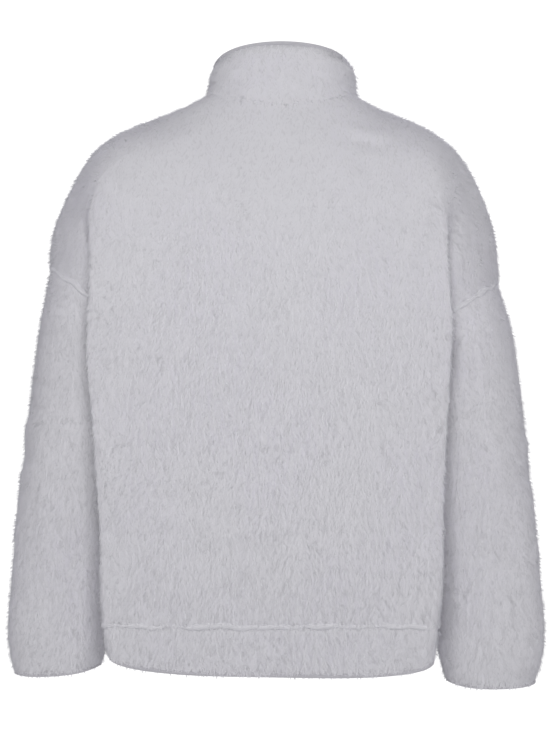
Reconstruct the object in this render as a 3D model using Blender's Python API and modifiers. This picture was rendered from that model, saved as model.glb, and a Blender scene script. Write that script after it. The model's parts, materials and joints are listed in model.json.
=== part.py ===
"""Fleece bomber jacket, filled out as if worn: hollow cloth walls on one smooth skin.

Front faces -Y, back faces +Y, +X is the wearer's left. Metres, +Z up. The origin is at the base of
the neck, where the wearer's shoulders hold the jacket. The skin is a coarse cage of rings, rounded
by one Subdivision Surface whose cage is pulled outwards until the smooth skin passes through the
rings' own points. Each cut piece is then a patch of that skin with its wall's thickness inside it.
"""

import math
from collections import namedtuple

import bmesh
import bpy
from mathutils import Matrix, Vector

# Walls and seams
WALL = 0.008               # backing cloth with its standing pile; a binding wraps all of it
BINDING_WIDTH = 0.005      # of the smooth edge beyond the pile cloth
SEAM_GAP = 0.0003
ZIP_GAP = 0.0075           # from the middle of the front to each front's edge
FIT_ROUNDS = 12            # times the cage is corrected so that the skin meets its rings

LEFT, RIGHT = 1, -1
SIDE_NAME = {LEFT: "left", RIGHT: "right"}

# How the photographed jacket hangs unevenly, by side
SEAM_SHIFT = {LEFT: 0.008, RIGHT: -0.008}      # armhole seam, up or down
CUFF_SHIFT = {LEFT: 0.000, RIGHT: -0.011}      # cuff, up or down
CUFF_TILT = {LEFT: 0.009, RIGHT: 0.002}        # a cuff's inner side above its outer side
SLEEVE_FULLER = {LEFT: 0.000, RIGHT: 0.005}    # outwards, down the sleeve's outer side
NECK_SHIFT = -0.0085                           # collar, towards the wearer's right
BACK_SHIFT = 0.007                             # the back's folds near the armpits, towards the left

# Torso rings from the hem seam up to the row below the armpit
TorsoRow = namedtuple("TorsoRow", "z back_y fold_left fold_right fold_drop side_x front_x front_y")
TORSO = (
    TorsoRow(-0.568, 0.112, 0.187, 0.180, 0.030, 0.162, 0.168, -0.120),
    TorsoRow(-0.520, 0.121, 0.192, 0.185, 0.032, 0.158, 0.172, -0.129),
    TorsoRow(-0.465, 0.127, 0.194, 0.186, 0.034, 0.151, 0.173, -0.135),
    TorsoRow(-0.405, 0.130, 0.196, 0.188, 0.034, 0.145, 0.173, -0.138),
    TorsoRow(-0.340, 0.132, 0.200, 0.191, 0.034, 0.142, 0.173, -0.140),
    TorsoRow(-0.282, 0.133, 0.208, 0.194, 0.034, 0.140, 0.172, -0.140),
)

# The hem band's lower ring, just above its binding
HEM = TorsoRow(-0.619, 0.104, 0.182, 0.176, 0.028, 0.161, 0.164, -0.112)
HEM_SIDE_RISE = 0.015      # the hem's corners end this much above its middle
HEM_BACK_TILT = 0.003      # lower towards the wearer's right

# Rings above the armpit, with the guide points that each passes through, on the wearer's left
UpperRow = namedtuple(
    "UpperRow", "back fold notch_back arm_back arm_out arm_front notch_front front_fold front"
)
UPPER = (
    UpperRow(
        (0.000, 0.132, -0.232), (0.200, 0.099, -0.232), (0.163, 0.062, -0.238),
        (0.212, 0.062, -0.209), (0.251, -0.020, -0.182), (0.212, -0.102, -0.209),
        (0.157, -0.069, -0.238), (0.171, -0.113, -0.232), (ZIP_GAP, -0.139, -0.232),
    ),
    UpperRow(
        (0.000, 0.130, -0.186), (0.197, 0.096, -0.180), (0.188, 0.071, -0.172),
        (0.216, 0.056, -0.160), (0.248, -0.020, -0.140), (0.211, -0.094, -0.162),
        (0.178, -0.090, -0.182), (0.168, -0.111, -0.188), (ZIP_GAP, -0.136, -0.192),
    ),
    UpperRow(
        (0.000, 0.124, -0.140), (0.193, 0.087, -0.124), (0.204, 0.064, -0.114),
        (0.214, 0.042, -0.105), (0.230, -0.018, -0.092), (0.206, -0.079, -0.108),
        (0.186, -0.090, -0.128), (0.160, -0.105, -0.140), (ZIP_GAP, -0.130, -0.148),
    ),
    UpperRow(
        (0.000, 0.112, -0.092), (0.164, 0.078, -0.064), (0.184, 0.056, -0.052),
        (0.194, 0.027, -0.045), (0.198, -0.016, -0.039), (0.187, -0.056, -0.052),
        (0.170, -0.076, -0.066), (0.136, -0.094, -0.088), (ZIP_GAP, -0.119, -0.108),
    ),
    UpperRow(
        (0.000, 0.095, -0.044), (0.101, 0.069, -0.028), (0.124, 0.043, -0.017),
        (0.136, 0.016, -0.011), (0.139, -0.012, -0.010), (0.134, -0.040, -0.017),
        (0.124, -0.062, -0.028), (0.096, -0.086, -0.050), (ZIP_GAP, -0.105, -0.082),
    ),
)
NECK_PULL = (0.0, 0.0, 0.1, 0.4, 0.8)          # how far each upper row follows the shifted neck
SEAM_PULL = (1.0, 0.4, 0.0, 0.0, 0.0)          # how far each upper row follows the armhole seam

# Neck seam and collar rings, as ovals with their heights at the back, side and front
NeckRow = namedtuple("NeckRow", "half_width back_y front_y z_back z_side z_front")
NECK_SEAM = NeckRow(0.087, 0.073, -0.088, 0.001, 0.010, -0.060)
COLLAR = (
    NeckRow(0.084, 0.069, -0.089, 0.034, 0.030, -0.026),
    NeckRow(0.079, 0.062, -0.088, 0.066, 0.041, 0.006),
)

# Sleeve rings below the armhole seam
SleeveRow = namedtuple("SleeveRow", "z_out z_in x_out x_in y_mid half_depth")
SLEEVE = (
    SleeveRow(-0.224, -0.264, 0.259, 0.170, -0.020, 0.080),
    SleeveRow(-0.270, -0.297, 0.267, 0.156, -0.021, 0.078),
    SleeveRow(-0.320, -0.337, 0.274, 0.153, -0.022, 0.075),
    SleeveRow(-0.372, -0.382, 0.280, 0.154, -0.024, 0.071),
    SleeveRow(-0.425, -0.430, 0.287, 0.158, -0.027, 0.067),
    SleeveRow(-0.478, -0.480, 0.292, 0.164, -0.030, 0.062),
    SleeveRow(-0.531, -0.531, 0.297, 0.171, -0.033, 0.057),
    SleeveRow(-0.582, -0.582, 0.301, 0.179, -0.035, 0.052),
    SleeveRow(-0.624, -0.624, 0.294, 0.189, -0.037, 0.046),
)
CUFF_BACK_DROP = 0.006     # the back of a cuff hangs lower than its sides

# The torso's rings near the arm: behind it, beside it and in front of it
FLANK_BEHIND_ARM = 0.070   # forward of the middle back
FLANK_TUCK = 0.42          # share of the way from the side out to the fold
SIDE_Y = -0.004
FLANK_BEFORE_ARM = 0.074   # backward of the middle front
FLANK_FLARE = 0.010
FRONT_FOLD = 0.028         # backward of the middle front
ARMPIT = (0.158, -0.002, -0.244)

# Where the columns of a ring stand along its guide points, from the middle back to the front edge
BACK_COLUMNS = (0.0, 0.42, 0.80, 1.0, 1.45)
ARM_COLUMNS = (2.0, 2.6, 3.35, 4.0, 4.65, 5.4, 6.0)
FRONT_COLUMNS = (6.5, 7.0, 7.22, 7.6, 8.0)
SIDE_COLUMNS = (2.0, 3.0, 4.0)
FOLD_COLUMN = 4
SLEEVE_ANGLES = (132.0, 96.0, 48.0, 0.0, -48.0, -96.0, -142.0, 180.0)

# Front zip
TAPE_THICK = 0.001
TAPE_INNER_X = 0.0034      # where each tape starts beside the chain
TAPE_UNDER = 0.011         # how far a tape reaches under its front
TAPE_CLEAR = 0.0005
CHAIN_WIDTH = 0.006
CHAIN_THICK = 0.0024
CHAIN_BOTTOM_SKIP = 1      # rows of the skin between the hem's edge and the chain's end
CHAIN_END_SPACE = 0.002    # no row of the skin nearer than this to the chain's upper end
SLIDER_FROM_TOP = 0.024    # along the zip, from the collar's top edge to the slider's middle
SLIDER_LENGTH = 0.011
SLIDER_WIDTH = 0.009
SLIDER_PLATE = 0.0012
SLIDER_CLEAR = 0.0004
NECK_WIDTH = 0.0022        # of the slider's post between its plates
NECK_HEIGHT = 0.0024
BAIL_BAR = 0.0012
BAIL_WIDTH = 0.0016
BAIL_INSIDE = 0.0024
BAIL_HALF = 0.0030         # from the bail's middle to the middle of its feet
BAIL_SUNK = 0.0002         # feet into the plate, so that they join
PULL_LENGTH = 0.030
PULL_WIDTH = 0.0085
PULL_THICK = 0.0014
PULL_WINDOW = 0.0052       # below the axis, clear of the bail
PULL_ARM = 0.0024
PULL_OVERLAP = 0.004       # an arm into the tab, so that they join
PULL_SEAT = 0.00135        # the axis above the bail's lower foot
BOX_LENGTH = 0.008
ZIP_EDGE_REACH = 0.004     # how near to its line a point of a front's edge lies

FLEECE = ((0.78, 0.77, 0.80), 0.95, 0.0)
BINDING = ((0.82, 0.82, 0.84), 0.70, 0.0)
TAPE = ((0.80, 0.80, 0.82), 0.80, 0.0)
ZIP_PLASTIC = ((0.84, 0.84, 0.85), 0.35, 0.0)
ZIP_METAL = ((0.72, 0.72, 0.74), 0.28, 1.0)

PIECE_NAMES = (
    "back", "front_left", "front_right", "sleeve_left", "sleeve_right", "collar", "hem_band",
    "collar_binding", "hem_binding", "cuff_binding_left", "cuff_binding_right",
)


def mirror(point, side):
    """A point of the wearer's left, on the side asked for."""
    return Vector((point[0] * side, point[1], point[2]))


def blend(a, b, share):
    """The value a share of the way from a to b."""
    return a + (b - a) * share


def curve_through(guides, places):
    """Points at the given guide indices on a centripetal curve through the guides.

    The curve meets the mirror plane squarely at both ends, as the guides were reflected there.
    """
    points = [Vector(g) for g in guides]
    before = Vector((-points[1].x, points[1].y, points[1].z))
    after = Vector((-points[-2].x, points[-2].y, points[-2].z))
    points = [before, *points, after]
    knots = [0.0]
    for a, b in zip(points, points[1:]):
        knots.append(knots[-1] + math.sqrt((b - a).length))
    result = []
    for place in places:
        span = min(int(place), len(points) - 4)
        share = place - span
        p0, p1, p2, p3 = points[span : span + 4]
        t0, t1, t2, t3 = knots[span : span + 4]
        t = blend(t1, t2, share)
        a1 = p0 * ((t1 - t) / (t1 - t0)) + p1 * ((t - t0) / (t1 - t0))
        a2 = p1 * ((t2 - t) / (t2 - t1)) + p2 * ((t - t1) / (t2 - t1))
        a3 = p2 * ((t3 - t) / (t3 - t2)) + p3 * ((t - t2) / (t3 - t2))
        b1 = a1 * ((t2 - t) / (t2 - t0)) + a2 * ((t - t0) / (t2 - t0))
        b2 = a2 * ((t3 - t) / (t3 - t1)) + a3 * ((t - t1) / (t3 - t1))
        result.append(b1 * ((t2 - t) / (t2 - t1)) + b2 * ((t - t1) / (t2 - t1)))
    return result


def whole_ring(half):
    """A ring from the left front edge round the back to the right front edge.

    half(side) gives one side's points from the middle back to the front edge.
    """
    left = half(LEFT)
    right = half(RIGHT)
    return [*reversed(left), *right[1:]]


def torso_ring(row, hem_drop=0.0):
    """One ring of the torso, with folded corners at the back and its sides drawn in at the arms."""

    def half(side):
        fold_x = row.fold_left if side == LEFT else row.fold_right
        guides = (
            (0.0, row.back_y),
            (fold_x, row.back_y - row.fold_drop),
            (blend(row.side_x, fold_x, FLANK_TUCK), row.back_y - FLANK_BEHIND_ARM),
            (row.side_x, SIDE_Y),
            (row.side_x + FLANK_FLARE, row.front_y + FLANK_BEFORE_ARM),
            (row.front_x, row.front_y + FRONT_FOLD),
            (ZIP_GAP, row.front_y),
        )
        fronts = [place - FRONT_COLUMNS[-1] + len(guides) - 1 for place in FRONT_COLUMNS]
        points = curve_through([(x, y, row.z) for x, y in guides], (*BACK_COLUMNS, *SIDE_COLUMNS, *fronts))
        for point in points:
            reach = min(1.0, abs(point.x) / (fold_x if point.y > 0 else row.front_x))
            point.z += hem_drop * (HEM_SIDE_RISE * reach**8 + HEM_BACK_TILT * side * reach)
            point.x *= side
        return points

    return whole_ring(half)


def upper_ring(index):
    """One ring above the armpit, round the back, over both upper arms and across the fronts."""

    def half(side):
        guides = UPPER[index]
        points = curve_through(guides, (*BACK_COLUMNS, *ARM_COLUMNS, *FRONT_COLUMNS))
        for column, point in enumerate(points):
            on_arm = len(BACK_COLUMNS) < column < len(BACK_COLUMNS) + len(ARM_COLUMNS) - 1
            if on_arm:
                point.z += SEAM_SHIFT[side] * SEAM_PULL[index]
            towards_front = max(0.0, column / (len(points) - 1) - 0.5) * 2
            pull = NECK_PULL[index] * (1.0 - towards_front**2)
            at_fold = 1.0 - min(1.0, abs(column - FOLD_COLUMN) / FOLD_COLUMN)
            point.x = point.x * side + NECK_SHIFT * pull + BACK_SHIFT * at_fold * (1.0 - pull)
        return points

    return whole_ring(half)


def neck_ring(row):
    """An oval ring of the neck seam or the collar, with as many columns as an upper ring."""
    columns = len(BACK_COLUMNS) + len(ARM_COLUMNS) + len(FRONT_COLUMNS) - 1
    middle_y = (row.back_y + row.front_y) / 2
    half_depth = (row.back_y - row.front_y) / 2
    middle_z = (row.z_back + row.z_front) / 2
    slope_z = (row.z_back - row.z_front) / 2

    def half(side):
        points = []
        for column in range(columns + 1):
            turn = math.pi * column / columns
            y = middle_y + half_depth * math.cos(turn)
            z = blend(middle_z, row.z_side, 0.5 - 0.5 * math.cos(2 * turn)) + slope_z * math.cos(turn)
            if turn <= math.pi / 2:
                x = row.half_width * math.sin(turn)
                shift = NECK_SHIFT
            else:
                x = blend(ZIP_GAP, row.half_width, math.sin(turn))
                shift = NECK_SHIFT * math.sin(turn) ** 2
            points.append(Vector((x * side + shift, y, z)))
        return points

    return whole_ring(half)


def sleeve_ring(row, share, side):
    """One closed ring of a sleeve, in the same order as the armhole's points."""
    points = []
    shift = blend(SEAM_SHIFT[side], CUFF_SHIFT[side], share)
    x_out = row.x_out + SLEEVE_FULLER[side] * min(1.0, 8 * share * (1.06 - share))
    middle_x = (x_out + row.x_in) / 2
    half_width = (x_out - row.x_in) / 2
    for degrees in SLEEVE_ANGLES:
        turn = math.radians(degrees)
        x = middle_x + half_width * math.cos(turn)
        y = row.y_mid + row.half_depth * math.sin(turn)
        z = blend(row.z_in, row.z_out, 0.5 + 0.5 * math.cos(turn)) + shift
        z += CUFF_TILT[side] * share**6 * (0.5 - 0.5 * math.cos(turn))
        z -= CUFF_BACK_DROP * share * max(0.0, math.sin(turn))
        points.append(mirror((x, y, z), side))
    return points


class Quilt:
    """The cage of the whole skin: points, four-sided faces and the piece each face belongs to."""

    def __init__(self):
        self.points = []
        self.faces = []
        self.pieces = []

    def add(self, ring):
        """Adds a ring's points and returns their numbers."""
        first = len(self.points)
        self.points.extend(ring)
        return list(range(first, len(self.points)))

    def strip(self, upper, lower, piece_at, closed=False):
        """Fills between two rings; piece_at(column, columns) names each face's piece."""
        count = len(upper)
        columns = count if closed else count - 1
        for column in range(columns):
            after = (column + 1) % count
            self.faces.append((upper[column], lower[column], lower[after], upper[after]))
            self.pieces.append(PIECE_NAMES.index(piece_at(column, columns)))


def panel_at(side_column):
    """Names the front or back panel by a column's place; the side seam is at side_column."""

    def name(column, columns):
        if column < side_column:
            return "front_left"
        if column >= columns - side_column:
            return "front_right"
        return "back"

    return name


def always(name):
    """A strip that belongs to one piece."""
    return lambda column, columns: name


def build_quilt():
    """The whole cage, from the hem to the collar and down both sleeves."""
    quilt = Quilt()
    side_seam = len(FRONT_COLUMNS) + 1
    shoulder_seam = len(FRONT_COLUMNS) + len(ARM_COLUMNS) // 2
    armpit_back = len(FRONT_COLUMNS) + len(ARM_COLUMNS) - 1

    torso = [quilt.add(torso_ring(row)) for row in TORSO]
    hem = quilt.add(torso_ring(HEM, hem_drop=1.0))
    upper = [quilt.add(upper_ring(index)) for index in range(len(UPPER))]
    upper.append(quilt.add(neck_ring(NECK_SEAM)))
    collar = [quilt.add(neck_ring(row)) for row in COLLAR]

    # The ring at the armpit: the upper ring with each arm's outside replaced by the armpit's middle
    first = upper[0]
    fronts = len(FRONT_COLUMNS)
    armpit = {side: quilt.add([mirror(ARMPIT, side)])[0] for side in (LEFT, RIGHT)}
    last = len(first) - 1
    ring = [*first[: fronts + 1], armpit[LEFT], *first[armpit_back : last - armpit_back + 1]]
    ring += [armpit[RIGHT], *first[last - fronts :]]

    rows = [ring, *reversed(torso)]
    for above, below in zip(rows, rows[1:]):
        quilt.strip(above, below, panel_at(side_seam))
    quilt.strip(torso[0], hem, always("hem_band"))
    for below, above in zip(upper, upper[1:]):
        quilt.strip(above, below, panel_at(shoulder_seam))
    quilt.strip(collar[0], upper[-1], always("collar"))
    quilt.strip(collar[1], collar[0], always("collar"))

    for side in (LEFT, RIGHT):
        name = SIDE_NAME[side]
        if side == LEFT:
            armhole = list(reversed(first[fronts : armpit_back + 1]))
        else:
            armhole = first[last - armpit_back : last - fronts + 1]
        above = [*armhole, armpit[side]]
        for number, row in enumerate(SLEEVE):
            share = (number + 1) / len(SLEEVE)
            below = quilt.add(sleeve_ring(row, share, side))
            quilt.strip(above, below, always(f"sleeve_{name}"), closed=True)
            above = below
    return quilt


def smooth_skin(quilt, guides):
    """The rounded skin as a bmesh, which passes through the cage's own points."""
    mesh = bpy.data.meshes.new("skin_cage")
    mesh.from_pydata([tuple(p) for p in quilt.points], [], quilt.faces)
    for polygon, piece in zip(mesh.polygons, quilt.pieces):
        polygon.material_index = piece
    work = bmesh.new()
    work.from_mesh(mesh)
    bmesh.ops.recalc_face_normals(work, faces=work.faces)
    middle_back = min(work.faces, key=lambda f: (f.calc_center_median() - Vector((0, 0.13, -0.4))).length)
    if middle_back.normal.y < 0:
        bmesh.ops.reverse_faces(work, faces=work.faces)
    work.to_mesh(mesh)
    work.free()
    cage = bpy.data.objects.new("skin_cage", mesh)
    guides.objects.link(cage)
    cage.hide_render = True
    cage.display_type = "WIRE"
    rounding = cage.modifiers.new("rounding", "SUBSURF")
    rounding.levels = 1
    rounding.render_levels = 1
    rounding.boundary_smooth = "PRESERVE_CORNERS"

    for _ in range(FIT_ROUNDS):
        bpy.context.view_layer.update()
        fine = cage.evaluated_get(bpy.context.evaluated_depsgraph_get()).to_mesh()
        misses = [target - fine.vertices[i].co for i, target in enumerate(quilt.points)]
        for vertex, miss in zip(mesh.vertices, misses):
            vertex.co += miss
        mesh.update()
    bpy.context.view_layer.update()
    fine = cage.evaluated_get(bpy.context.evaluated_depsgraph_get()).to_mesh()
    skin = bmesh.new()
    skin.from_mesh(fine)
    add_binding(skin, "hem_band", "hem_binding")
    add_binding(skin, "collar", "collar_binding")
    for side_name in SIDE_NAME.values():
        add_binding(skin, f"sleeve_{side_name}", f"cuff_binding_{side_name}")
    skin.normal_update()
    skin.verts.ensure_lookup_table()
    return skin


def at_zip(vertex):
    """Whether a point of the skin lies on a front's edge beside the zip."""
    return abs(vertex.co.x) < ZIP_GAP + ZIP_EDGE_REACH and vertex.co.y < 0


def add_binding(skin, cloth, binding):
    """Extends a piece's open edge by the width of its binding, which becomes a piece of its own."""
    cloth_number = PIECE_NAMES.index(cloth)
    edges = []
    for edge in skin.edges:
        front_edge = all(at_zip(v) for v in edge.verts)
        if edge.is_boundary and not front_edge and edge.link_faces[0].material_index == cloth_number:
            edges.append(edge)
    away = {}
    for edge in edges:
        along = (edge.verts[1].co - edge.verts[0].co).normalized()
        out = (edge.verts[0].co + edge.verts[1].co) / 2 - edge.link_faces[0].calc_center_median()
        out -= along * out.dot(along)
        for vertex in edge.verts:
            away[vertex] = away.get(vertex, Vector()) + out.normalized()
    fresh = {}
    for vertex, out in away.items():
        point = vertex.co + out.normalized() * BINDING_WIDTH
        if at_zip(vertex):
            point.x = vertex.co.x
        fresh[vertex] = skin.verts.new(point)
    for edge in edges:
        loop = edge.link_loops[0]
        a = loop.vert
        b = loop.link_loop_next.vert
        face = skin.faces.new((b, a, fresh[a], fresh[b]))
        face.material_index = PIECE_NAMES.index(binding)
    skin.verts.index_update()
    skin.faces.index_update()


def seam_inset(vertex, faces):
    """How far a vertex on the edge of a patch moves into it, to leave half of the seam's gap."""
    inward = []
    for edge in vertex.link_edges:
        sides = [f for f in edge.link_faces if f in faces]
        if len(sides) != 1:
            continue
        along = (edge.verts[1].co - edge.verts[0].co).normalized()
        into = sides[0].calc_center_median() - edge.verts[0].co
        into -= along * into.dot(along)
        inward.append(into.normalized())
    if len(inward) < 2:
        return Vector()
    total = inward[0] + inward[1]
    return total * (SEAM_GAP / 2 / (1.0 + max(inward[0].dot(inward[1]), -0.5)))


def split(ring, points):
    """A four-sided face as two triangles, along its shorter diagonal."""
    a, b, c, d = ring
    if (points[a] - points[c]).length <= (points[b] - points[d]).length:
        return [[a, b, c], [a, c, d]]
    return [[a, b, d], [b, c, d]]


def wall_piece(name, skin, collection, material):
    """One cut piece: its patch of the skin, the patch moved inside, and walls round its edge."""
    number = PIECE_NAMES.index(name)
    faces = {f for f in skin.faces if f.material_index == number}
    verts = sorted({v for f in faces for v in f.verts}, key=lambda v: v.index)
    place = {v.index: i for i, v in enumerate(verts)}
    outer = [v.co + seam_inset(v, faces) for v in verts]
    inner = [point - v.normal * WALL for point, v in zip(outer, verts)]
    count = len(outer)
    built = []
    for face in sorted(faces, key=lambda f: f.index):
        for triangle in split([place[v.index] for v in face.verts], outer):
            built.append(triangle)
            built.append([count + i for i in reversed(triangle)])
        for loop in face.loops:
            if len([f for f in loop.edge.link_faces if f in faces]) > 1:
                continue
            a = loop.vert
            b = loop.link_loop_next.vert
            ia, ib = place[a.index], place[b.index]
            # Neighbours split their walls along the same diagonal, so the gap stays even
            if a.index < b.index:
                built.append([ia, count + ia, count + ib])
                built.append([ia, count + ib, ib])
            else:
                built.append([ia, count + ia, ib])
                built.append([ib, count + ia, count + ib])
    mesh = bpy.data.meshes.new(name)
    mesh.from_pydata([tuple(p) for p in outer + inner], [], built)
    mesh.validate()
    mesh.shade_smooth()
    piece = bpy.data.objects.new(name, mesh)
    collection.objects.link(piece)
    mesh.materials.append(material)
    return piece


def finish(name, colour):
    """A Principled material with a colour, roughness and metallic value."""
    base, roughness, metallic = colour
    material = bpy.data.materials.new(name)
    material.use_nodes = True
    shader = material.node_tree.nodes["Principled BSDF"]
    shader.inputs["Base Color"].default_value = (*base, 1.0)
    shader.inputs["Roughness"].default_value = roughness
    shader.inputs["Metallic"].default_value = metallic
    material.diffuse_color = (*base, 1.0)
    return material


def front_rows(skin, side):
    """Each row of a front's edge, bottom to top: its edge vertex and the next one into the front."""
    rows = []
    for vertex in skin.verts:
        if vertex.is_boundary and abs(vertex.co.x - ZIP_GAP * side) < ZIP_EDGE_REACH and vertex.co.y < 0:
            inner = max((e.other_vert(vertex) for e in vertex.link_edges), key=lambda v: v.co.x * side)
            rows.append((vertex, inner))
    return sorted(rows, key=lambda pair: pair[0].co.z)


def loft(name, sections, collection, material):
    """A closed strip through equal sections of points, capped at both ends."""
    work = bmesh.new()
    rings = [[work.verts.new(p) for p in section] for section in sections]
    count = len(rings[0])
    for below, above in zip(rings, rings[1:]):
        for i in range(count):
            j = (i + 1) % count
            work.faces.new((below[i], below[j], above[j], above[i]))
    work.faces.new(rings[0])
    work.faces.new(rings[-1])
    bmesh.ops.recalc_face_normals(work, faces=work.faces)
    mesh = bpy.data.meshes.new(name)
    work.to_mesh(mesh)
    work.free()
    strip = bpy.data.objects.new(name, mesh)
    collection.objects.link(strip)
    mesh.materials.append(material)
    return strip


ZipLine = namedtuple("ZipLine", "points normals")


def build_tapes(skin, collection, material):
    """Both zip tapes under the fronts' edges; returns the line that the chain lies on."""
    starts = {}
    for side in (LEFT, RIGHT):
        sections = []
        starts[side] = []
        for edge, inner in front_rows(skin, side):
            at_edge = edge.co - edge.normal * (WALL + TAPE_CLEAR)
            next_in = inner.co - inner.normal * (WALL + TAPE_CLEAR)
            along = (next_in - at_edge).normalized()
            start = at_edge - along * (ZIP_GAP - TAPE_INNER_X)
            start.x = TAPE_INNER_X * side
            end = at_edge + along * TAPE_UNDER
            down = edge.normal * TAPE_THICK
            sections.append((start, end, end - down, start - down))
            starts[side].append((start - down / 2, edge.normal.copy()))
        loft(f"zip_tape_{SIDE_NAME[side]}", sections, collection, material)
    points = []
    normals = []
    for (a, na), (b, nb) in zip(starts[LEFT], starts[RIGHT]):
        middle = (a + b) / 2
        middle.x = 0.0
        normal = na + nb
        normal.x = 0.0
        points.append(middle)
        normals.append(normal.normalized())
    return ZipLine(points, normals)


def point_on(line, distance_from_top):
    """The point, the upward direction and the outward direction at a distance down the zip."""
    walked = 0.0
    for i in range(len(line.points) - 1, 0, -1):
        step = line.points[i - 1] - line.points[i]
        if walked + step.length >= distance_from_top:
            share = (distance_from_top - walked) / step.length
            up = -step.normalized()
            outward = up.cross(Vector((1.0, 0.0, 0.0)))
            if outward.y > 0:
                outward = -outward
            return line.points[i] + step * share, up, outward
        walked += step.length
    raise ValueError("the zip is shorter than that distance")


def build_chain(line, top_distance, collection, material):
    """The closed teeth as one plain bar between the tapes, up to the slider's neck."""
    end, _up, end_out = point_on(line, top_distance)
    rows = [(p, n) for p, n in zip(line.points, line.normals) if p.z < end.z - CHAIN_END_SPACE]
    rows = rows[CHAIN_BOTTOM_SKIP:]
    rows.append((end, end_out))
    side = Vector((CHAIN_WIDTH / 2, 0.0, 0.0))
    sections = []
    for point, normal in rows:
        out = normal * (CHAIN_THICK / 2)
        sections.append((point - side + out, point + side + out, point + side - out, point - side - out))
    loft("zip_chain", sections, collection, material)


def box_into(work, size, centre):
    """Adds an upright box of the given size round a centre."""
    made = bmesh.ops.create_cube(work, size=1.0)
    for vertex in made["verts"]:
        vertex.co = Vector([c + v * s for c, v, s in zip(centre, vertex.co, size)])


def union(name, boxes, frame, collection, material):
    """Boxes joined into one body by Boolean unions, in a frame of its own."""
    target = None
    for number, (size, centre) in enumerate(boxes):
        work = bmesh.new()
        box_into(work, size, centre)
        mesh = bpy.data.meshes.new(f"{name}_{number}")
        work.to_mesh(mesh)
        work.free()
        piece = bpy.data.objects.new(mesh.name, mesh)
        collection.objects.link(piece)
        if target is None:
            target = piece
            continue
        join = target.modifiers.new(f"join_{number}", "BOOLEAN")
        join.operation = "UNION"
        join.object = piece
        bpy.context.view_layer.update()
        joined = bpy.data.meshes.new_from_object(
            target.evaluated_get(bpy.context.evaluated_depsgraph_get())
        )
        target.modifiers.clear()
        target.data = joined
        bpy.data.objects.remove(piece)
    target.name = name
    target.data.name = name
    target.matrix_world = frame
    target.data.materials.append(material)
    return target


def build_slider(line, collection, metal):
    """The slider with its bail, and the pull tab that hangs from it on its own axis."""
    middle, up, outward = point_on(line, SLIDER_FROM_TOP)
    frame = Matrix(((-outward).cross(up), -outward, up)).transposed().to_4x4()
    frame.translation = middle
    plate_y = CHAIN_THICK / 2 + SLIDER_CLEAR + SLIDER_PLATE / 2
    face_y = plate_y + SLIDER_PLATE / 2
    neck_z = (SLIDER_LENGTH - NECK_HEIGHT) / 2
    plate = (SLIDER_WIDTH, SLIDER_PLATE, SLIDER_LENGTH)
    foot = (BAIL_WIDTH, BAIL_INSIDE + BAIL_BAR, BAIL_BAR)
    foot_y = -(face_y + foot[1] / 2 - BAIL_SUNK)
    arch_y = -(face_y + foot[1] - BAIL_BAR / 2 - BAIL_SUNK)
    boxes = [
        (plate, (0, -plate_y, 0)),
        (plate, (0, plate_y, 0)),
        ((NECK_WIDTH, 2 * plate_y, NECK_HEIGHT), (0, 0, neck_z)),
        (foot, (0, foot_y, BAIL_HALF)),
        (foot, (0, foot_y, -BAIL_HALF)),
        ((BAIL_WIDTH, BAIL_BAR, 2 * BAIL_HALF + BAIL_BAR), (0, arch_y, 0)),
    ]
    union("zip_slider", boxes, frame, collection, metal)

    hinge = frame @ Vector((0.0, -(face_y + BAIL_INSIDE / 2), -BAIL_HALF + BAIL_BAR / 2 + PULL_SEAT))
    pull_frame = Matrix.Translation(hinge) @ frame.to_3x3().to_4x4()
    arm_x = (PULL_WIDTH - PULL_ARM) / 2
    arm = (PULL_ARM, PULL_THICK, PULL_WINDOW + PULL_OVERLAP)
    arm_z = (PULL_THICK - arm[2]) / 2
    tab = (PULL_WIDTH, PULL_THICK, PULL_LENGTH - PULL_WINDOW)
    boxes = [
        ((PULL_WIDTH, PULL_THICK, PULL_THICK), (0, 0, 0)),
        (arm, (arm_x, 0, arm_z)),
        (arm, (-arm_x, 0, arm_z)),
        (tab, (0, 0, -PULL_WINDOW - tab[2] / 2)),
    ]
    union("zip_pull", boxes, pull_frame, collection, metal)


def build_zip_box(line, collection, metal):
    """The retainer box at the foot of the zip, between the tapes and below the chain."""
    foot = line.points[CHAIN_BOTTOM_SKIP]
    up = (foot - line.points[0]).normalized()
    normal = line.normals[0]
    normal = (normal - up * normal.dot(up)).normalized()
    frame = Matrix((up.cross(normal), -normal, up)).transposed().to_4x4()
    frame.translation = foot - up * (SEAM_GAP + BOX_LENGTH / 2)
    size = (2 * (TAPE_INNER_X - SEAM_GAP), CHAIN_THICK, BOX_LENGTH)
    union("zip_box", [(size, (0, 0, 0))], frame, collection, metal)


def main():
    """Builds every piece of the jacket."""
    for leftover in list(bpy.data.objects):
        bpy.data.objects.remove(leftover)
    scene = bpy.context.scene
    jacket = bpy.data.collections.new("fleece_bomber_jacket")
    guides = bpy.data.collections.new("guides")
    scene.collection.children.link(jacket)
    scene.collection.children.link(guides)

    skin = smooth_skin(build_quilt(), guides)
    for name in PIECE_NAMES:
        colour = BINDING if "binding" in name else FLEECE
        wall_piece(name, skin, jacket, finish(f"{name}_finish", colour))
    line = build_tapes(skin, jacket, finish("tape_finish", TAPE))
    chain_top = SLIDER_FROM_TOP - SLIDER_LENGTH / 2 + NECK_HEIGHT + SLIDER_CLEAR
    build_chain(line, chain_top, jacket, finish("chain_finish", ZIP_PLASTIC))
    build_slider(line, jacket, finish("zip_metal_finish", ZIP_METAL))
    build_zip_box(line, jacket, finish("zip_box_finish", ZIP_METAL))
    skin.free()


main()
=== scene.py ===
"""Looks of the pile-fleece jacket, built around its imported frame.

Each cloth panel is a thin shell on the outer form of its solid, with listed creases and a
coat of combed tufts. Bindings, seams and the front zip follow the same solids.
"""

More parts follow.
